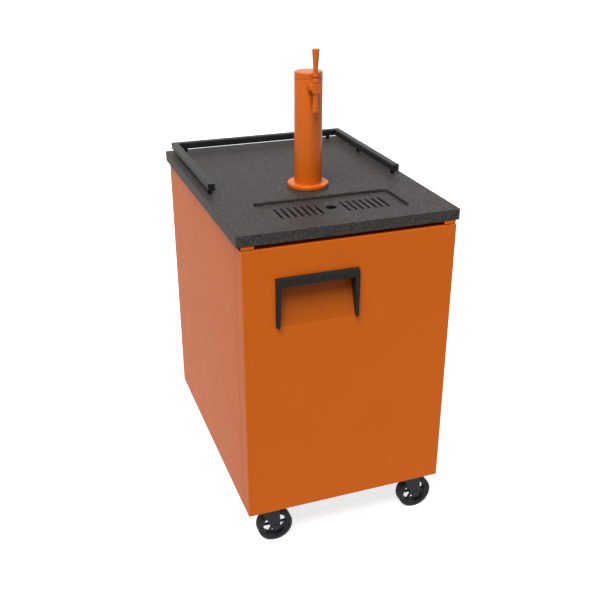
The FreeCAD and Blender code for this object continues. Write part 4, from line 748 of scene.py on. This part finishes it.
@dataclass
class GuardRail:
    """Three-sided rail of square tube with soft corners, on turned posts. Millimetres."""

    side: float = 273.0
    back: float = 384.0
    front: float = -67.0
    low: float = 968.0
    high: float = 988.0
    corner: float = 2.4
    post_radius: float = 6.0
    post_rim: float = 0.8
    post_gap: float = 0.02
    deck: float = 958.0
    end_reach: float = 22.0
    side_reach: float = 180.0
    rear_shift: float = 33.0

    def build(self, dresser: Dresser) -> None:
        """Builds the tube and the posts as one piece that stands for the CAD rail.

        The tube is a rounded square carried along a U, mitred at its two corners: each profile point keeps
        its distance from the path, so its place at a corner is path + u (n1 + n2) / (1 + n1 . n2).
        """
        half = (self.high - self.low) / 2
        steps = 6
        angles = np.linspace(0.0, math.pi / 2, steps)
        quarter = np.stack([np.cos(angles), np.sin(angles)], axis=-1) * self.corner
        inset = half - self.corner
        signs = np.array([[1, 1], [-1, 1], [-1, -1], [1, -1]], float)
        turns = [np.array([[math.cos(q), math.sin(q)], [-math.sin(q), math.cos(q)]]) for q in
                 (0, math.pi / 2, math.pi, 3 * math.pi / 2)]
        outline = np.vstack([quarter @ turn + sign * inset for sign, turn in zip(signs, turns)])
        path = np.array([[-self.side, self.front], [-self.side, self.back], [self.side, self.back],
                         [self.side, self.front]])
        outward = np.array([[-1.0, 0.0], [-1.0, 1.0], [1.0, 1.0], [1.0, 0.0]])
        rings = path[:, None, :] + outline[None, :, :1] * outward[:, None, :]
        z = np.broadcast_to(outline[:, 1] + (self.low + self.high) / 2, rings.shape[:2])
        points = np.concatenate([rings, z[..., None]], axis=-1).reshape(-1, 3)
        count = len(outline)
        faces = [tuple(face) for face in grid_faces(len(path), count, False, True)]
        faces.append(tuple(range(count))[::-1])
        faces.append(tuple(3 * count + k for k in range(count)))
        tube = (points * MM, faces)
        posts = []
        ends = self.front + self.end_reach
        spots = [(-self.side, ends), (self.side, ends), (-self.side, self.back - self.side_reach),
                 (self.side, self.back - self.side_reach), (self.rear_shift - self.side, self.back),
                 (self.side - self.rear_shift, self.back)]
        foot = rounded_profile(
            [(0, self.post_gap), (self.post_radius, self.post_gap),
             (self.post_radius, self.low - self.deck - self.post_gap),
             (0, self.low - self.deck - self.post_gap)],
            [0, self.post_rim, self.post_rim, 0],
            4,
        )
        for x, y in spots:
            posts.append(turned(foot, (x, y, self.deck), segments=40, closed=False))
        dresser.piece("guard_rail_tube", *combined([tube, *posts]), "cabinet", "rail_black", ["guard_rail"])


@dataclass
class Caster:
    """One caster's tyre. Millimetres."""

    name: str
    x: float
    y: float
    trail: float = 19.0
    radius: float = 51.0
    width: float = 32.0
    depth: float = 10.0
    bead: float = 6.0
    shoulder: float = 1.0
    groove_near: float = 3.8
    groove_far: float = 5.0
    groove_depth: float = 0.8

    def build(self, dresser: Dresser) -> None:
        """Builds the tyre: a flat tread with round shoulders and two grooves.

        Args:
            dresser: Maker of the finished pieces.
        """
        half = self.width / 2
        seat = self.radius - self.depth + 0.05
        middle = (self.groove_near + self.groove_far) / 2
        foot = self.radius - self.groove_depth
        outline = rounded_profile(
            [(seat, half), (seat, -half), (self.radius - self.bead, -half),
             (self.radius, self.shoulder - half), (self.radius, -self.groove_far), (foot, -middle),
             (self.radius, -self.groove_near),
             (self.radius, self.groove_near), (foot, middle), (self.radius, self.groove_far),
             (self.radius, half - self.shoulder), (self.radius - self.bead, half)],
            [0, 0, 1.5, 3.5, 0, 0.3, 0, 0, 0.3, 0, 3.5, 1.5],
            6,
        )
        points, faces = turned(outline, (self.x + self.trail, self.y, self.radius), Axis.Y, 96)
        dresser.piece(
            f"tyre_{self.name}", points, faces, f"wheel_{self.name}", "caster_tyre",
            [f"caster_tyre_{self.name}"],
        )


def extruded(outline: np.ndarray, low: float, high: float) -> tuple[np.ndarray, list]:
    """Draws a closed outline in Y and Z along X: two end outlines, the walls between them and two end faces.

    Args:
        outline: Rows of Y and Z in millimetres, turning from +Y towards +Z.
        low: X of the first end, in millimetres.
        high: X of the second end, in millimetres.

    Returns:
        Points in metres and the faces.
    """
    count = len(outline)
    ends = [np.column_stack([np.full(count, x), outline]) for x in (low, high)]
    faces = [tuple(face) for face in grid_faces(2, count, False, True)[:, ::-1]]
    faces.append(tuple(range(count))[::-1])
    faces.append(tuple(range(count, 2 * count)))
    return np.vstack(ends) * MM, faces


@dataclass
class Scoop:
    """Sheet scoop behind the pull: it bends in from the door's face and rises to a soft knee. Millimetres."""

    left: float = -205.0
    right: float = 19.0
    low: float = 704.0
    high: float = 838.0
    face: float = -400.0
    depth: float = 26.0
    flat: float = 22.0
    wall: float = 1.5
    knee: float = 9.0
    fold: float = 2.0
    skin: float = 1.2
    side_gap: float = 0.05

    def build(self, dresser: Dresser) -> None:
        """Builds the sloped back as one bent sheet, and the two side plates.

        Args:
            dresser: Maker of the finished pieces.
        """
        deep = self.face + self.depth
        skin = self.face + self.skin
        bend = self.high - self.flat
        inner = rounded_profile(
            [(self.face, self.low), (deep, bend), (deep, self.high), (skin, self.high)],
            [0, self.knee, self.fold, 0],
            7,
        )
        outer = rounded_profile(
            [(skin, self.high + self.wall), (deep + self.wall, self.high + self.wall),
             (deep + self.wall, bend), (skin, self.low - self.wall)],
            [0, self.fold + self.wall, self.knee, 0],
            7,
        )
        sheet = np.vstack([inner, outer])
        back = extruded(sheet, self.left, self.right)
        plate = np.array([(skin, self.low), (deep, bend), (deep, self.high), (skin, self.high)])
        sides = [extruded(plate, self.left - self.wall, self.left - self.side_gap),
                 extruded(plate, self.right + self.side_gap, self.right + self.wall)]
        # The scoop's coat carries painted shade, darkest towards its top under the bar
        dresser.piece(
            "pull_scoop_sheet", *combined([back, *sides]), "door", "cabinet_paint", ["door_scoop"],
            finish=POCKET_COAT_PAINTED_SHADE,
        )


@dataclass
class Fasteners:
    """Screws of the rear cover and bolts of the caster plates. Millimetres."""

    cover_face: float = 401.2
    cover_side: float = 276.0
    cover_rows: tuple[float, float] = (145.0, 914.0)
    side_rows: tuple[float, float] = (400.0, 660.0)
    screw_radius: float = 4.5
    screw_height: float = 2.2
    bolt_side: float = 34.0
    bolt_reach: tuple[float, float] = (32.0, 86.0)
    bolt_low: float = 121.9
    bolt_radius: float = 6.5
    bolt_height: float = 4.0

    def build(self, dresser: Dresser) -> None:
        """Builds the screws as one piece and the bolts as another.

        Args:
            dresser: Maker of the finished pieces.
        """
        side = self.cover_side
        spots = [(x, z) for x in (-side, 0.0, side) for z in self.cover_rows]
        spots += [(x, z) for x in (-side, side) for z in self.side_rows]
        head = self.pan_head(self.screw_radius, self.screw_height)
        screws = [self.flipped(turned(head, (x, self.cover_face, z), Axis.Y, 24, closed=False))
                  for x, z in spots]
        dresser.piece("rear_cover_screws", *combined(screws), "cabinet", "stainless")
        head = self.hex_head(self.bolt_radius, self.bolt_height)
        bolts = []
        for caster in casters():
            inward = math.copysign(1.0, -caster.y)
            for across in (-self.bolt_side, self.bolt_side):
                for reach in self.bolt_reach:
                    place = (caster.x + across, caster.y + reach * inward, self.bolt_low)
                    bolts.append(turned(head, place, segments=6, closed=False))
        dresser.piece("caster_bolts", *combined(bolts), "cabinet", "caster_steel", smooth=20.0)

    def flipped(self, part: tuple[np.ndarray, list]) -> tuple[np.ndarray, list]:
        """Turns a head that points to -Y so that it points to +Y, and turns its faces with it.

        Args:
            part: Points in metres and the faces.

        Returns:
            The mirrored points and the reversed faces.
        """
        points, faces = part
        mirrored = points.copy()
        mirrored[:, 1] = 2 * self.cover_face * MM - mirrored[:, 1]
        return mirrored, [corners[::-1] for corners in faces]

    def pan_head(self, radius: float, height: float) -> np.ndarray:
        """Outline of a pan head with a round driver recess."""
        return rounded_profile(
            [(0, 0), (radius, 0), (radius, height), (radius * 0.4, height), (radius * 0.3, height * 0.45),
             (0, height * 0.45)],
            [0, 0, radius * 0.35, 0, 0, 0],
            5,
        )

    def hex_head(self, radius: float, height: float) -> np.ndarray:
        """Outline of a bolt head whose corners are chamfered at its lower end."""
        return np.array([(0, 0), (radius * 0.86, 0), (radius, height * 0.22), (radius, height), (0, height)])


@dataclass
class Studio:
    """Pale floor, soft light and the camera at the photograph's angle."""

    camera_place: tuple[float, float, float] = (-0.7942, -2.2083, 1.6750)
    tilt: float = 64.81
    pan: float = -19.87
    lens: float = 50.98
    floor_reach: float = 40.0
    key: float = 4.55
    key_angle: float = 36.0
    key_aim: tuple[float, float, float] = (0.34, 0.38, -1.0)
    fill: float = 0.2
    glow: float = 0.72
    floor_paint: float = 0.6

    def build(self) -> None:
        """Sets the floor, the lights, the world and the camera."""
        self.floor()
        self.lights()
        self.camera()

    def floor(self) -> None:
        """Pale floor that a camera, mirror or glass sees as white, with the object's shadow kept."""
        mesh = bpy.data.meshes.new("floor")
        reach = self.floor_reach
        corners = [(-reach, -reach, 0), (reach, -reach, 0), (reach, reach, 0), (-reach, reach, 0)]
        mesh.from_pydata(corners, [], [(0, 1, 2, 3)])
        material = bpy.data.materials.new("pale_floor")
        material.use_nodes = True
        tree = material.node_tree
        tree.nodes.clear()
        paint = add_node(tree, "BsdfDiffuse", {"Color": (self.floor_paint,) * 3 + (1.0,)})
        glow = add_node(tree, "Emission", {"Color": WHITE, "Strength": self.glow})
        both = add_node(tree, "AddShader", {0: paint.outputs[0], 1: glow.outputs[0]})
        white = add_node(tree, "Emission", {"Color": WHITE, "Strength": 1.0})
        path = add_node(tree, "LightPath")
        looked_at = add_node(
            tree, "MixShader", {0: path.outputs["Is Camera Ray"], 1: white.outputs[0], 2: both.outputs[0]}
        )
        mixed = add_node(
            tree, "MixShader", {0: self.seen(tree), 1: paint.outputs[0], 2: looked_at.outputs[0]}
        )
        add_node(tree, "OutputMaterial", {"Surface": mixed.outputs[0]})
        mesh.materials.append(material)
        floor = bpy.data.objects.new("floor", mesh)
        bpy.context.scene.collection.objects.link(floor)

    def seen(self, tree: bpy.types.NodeTree) -> bpy.types.NodeSocket:
        """Gives 1 on camera, glossy and transmission rays."""
        path = add_node(tree, "LightPath")
        first = add_node(
            tree, "Math", {0: path.outputs["Is Camera Ray"], 1: path.outputs["Is Glossy Ray"]},
            operation="MAXIMUM",
        )
        return add_node(
            tree, "Math", {0: first.outputs[0], 1: path.outputs["Is Transmission Ray"]}, operation="MAXIMUM"
        ).outputs[0]

    def lights(self) -> None:
        """A steep, wide and soft key from the upper left front, over an even pale world."""
        world = bpy.data.worlds.new("studio")
        bpy.context.scene.world = world
        world.use_nodes = True
        tree = world.node_tree
        tree.nodes.clear()
        seen = self.seen(tree)
        strength = add_node(tree, "MapRange", {"Value": seen, "To Min": self.fill, "To Max": 1.0})
        sky = add_node(tree, "Background", {"Color": WHITE, "Strength": strength.outputs["Result"]})
        add_node(tree, "OutputWorld", {"Surface": sky.outputs[0]})
        lamp = bpy.data.lights.new("key", "SUN")
        lamp.energy = self.key
        lamp.angle = math.radians(self.key_angle)
        key = bpy.data.objects.new("key", lamp)
        key.rotation_euler = Vector(self.key_aim).to_track_quat("-Z", "Y").to_euler()
        bpy.context.scene.collection.objects.link(key)

    def camera(self) -> None:
        """Puts the camera where the photograph was taken from."""
        data = bpy.data.cameras.new("camera")
        data.lens = self.lens
        data.sensor_width = 36.0
        data.clip_end = 200.0
        camera = bpy.data.objects.new("camera", data)
        camera.location = self.camera_place
        camera.rotation_euler = (math.radians(self.tilt), 0.0, math.radians(self.pan))
        bpy.context.scene.collection.objects.link(camera)
        bpy.context.scene.camera = camera


def casters() -> list[Caster]:
    """Lists the four casters."""
    near, far, side = -352.0, 365.0, 222.0
    return [
        Caster("front_left", -side, near),
        Caster("front_right", side, near),
        Caster("rear_left", -side, far),
        Caster("rear_right", side, far),
    ]


def main() -> None:
    """Builds the studio and every piece in order."""
    logging.basicConfig(level=logging.INFO, format="%(name)s: %(message)s")
    bpy.context.scene.view_settings.view_transform = "Standard"
    Studio().build()
    dresser = Dresser()
    dresser.dress_nodes()
    Tower().build(dresser)
    Faucet().build(dresser)
    GuardRail().build(dresser)
    for caster in casters():
        caster.build(dresser)
    Scoop().build(dresser)
    Fasteners().build(dresser)


if __name__ == "__main__":
    main()
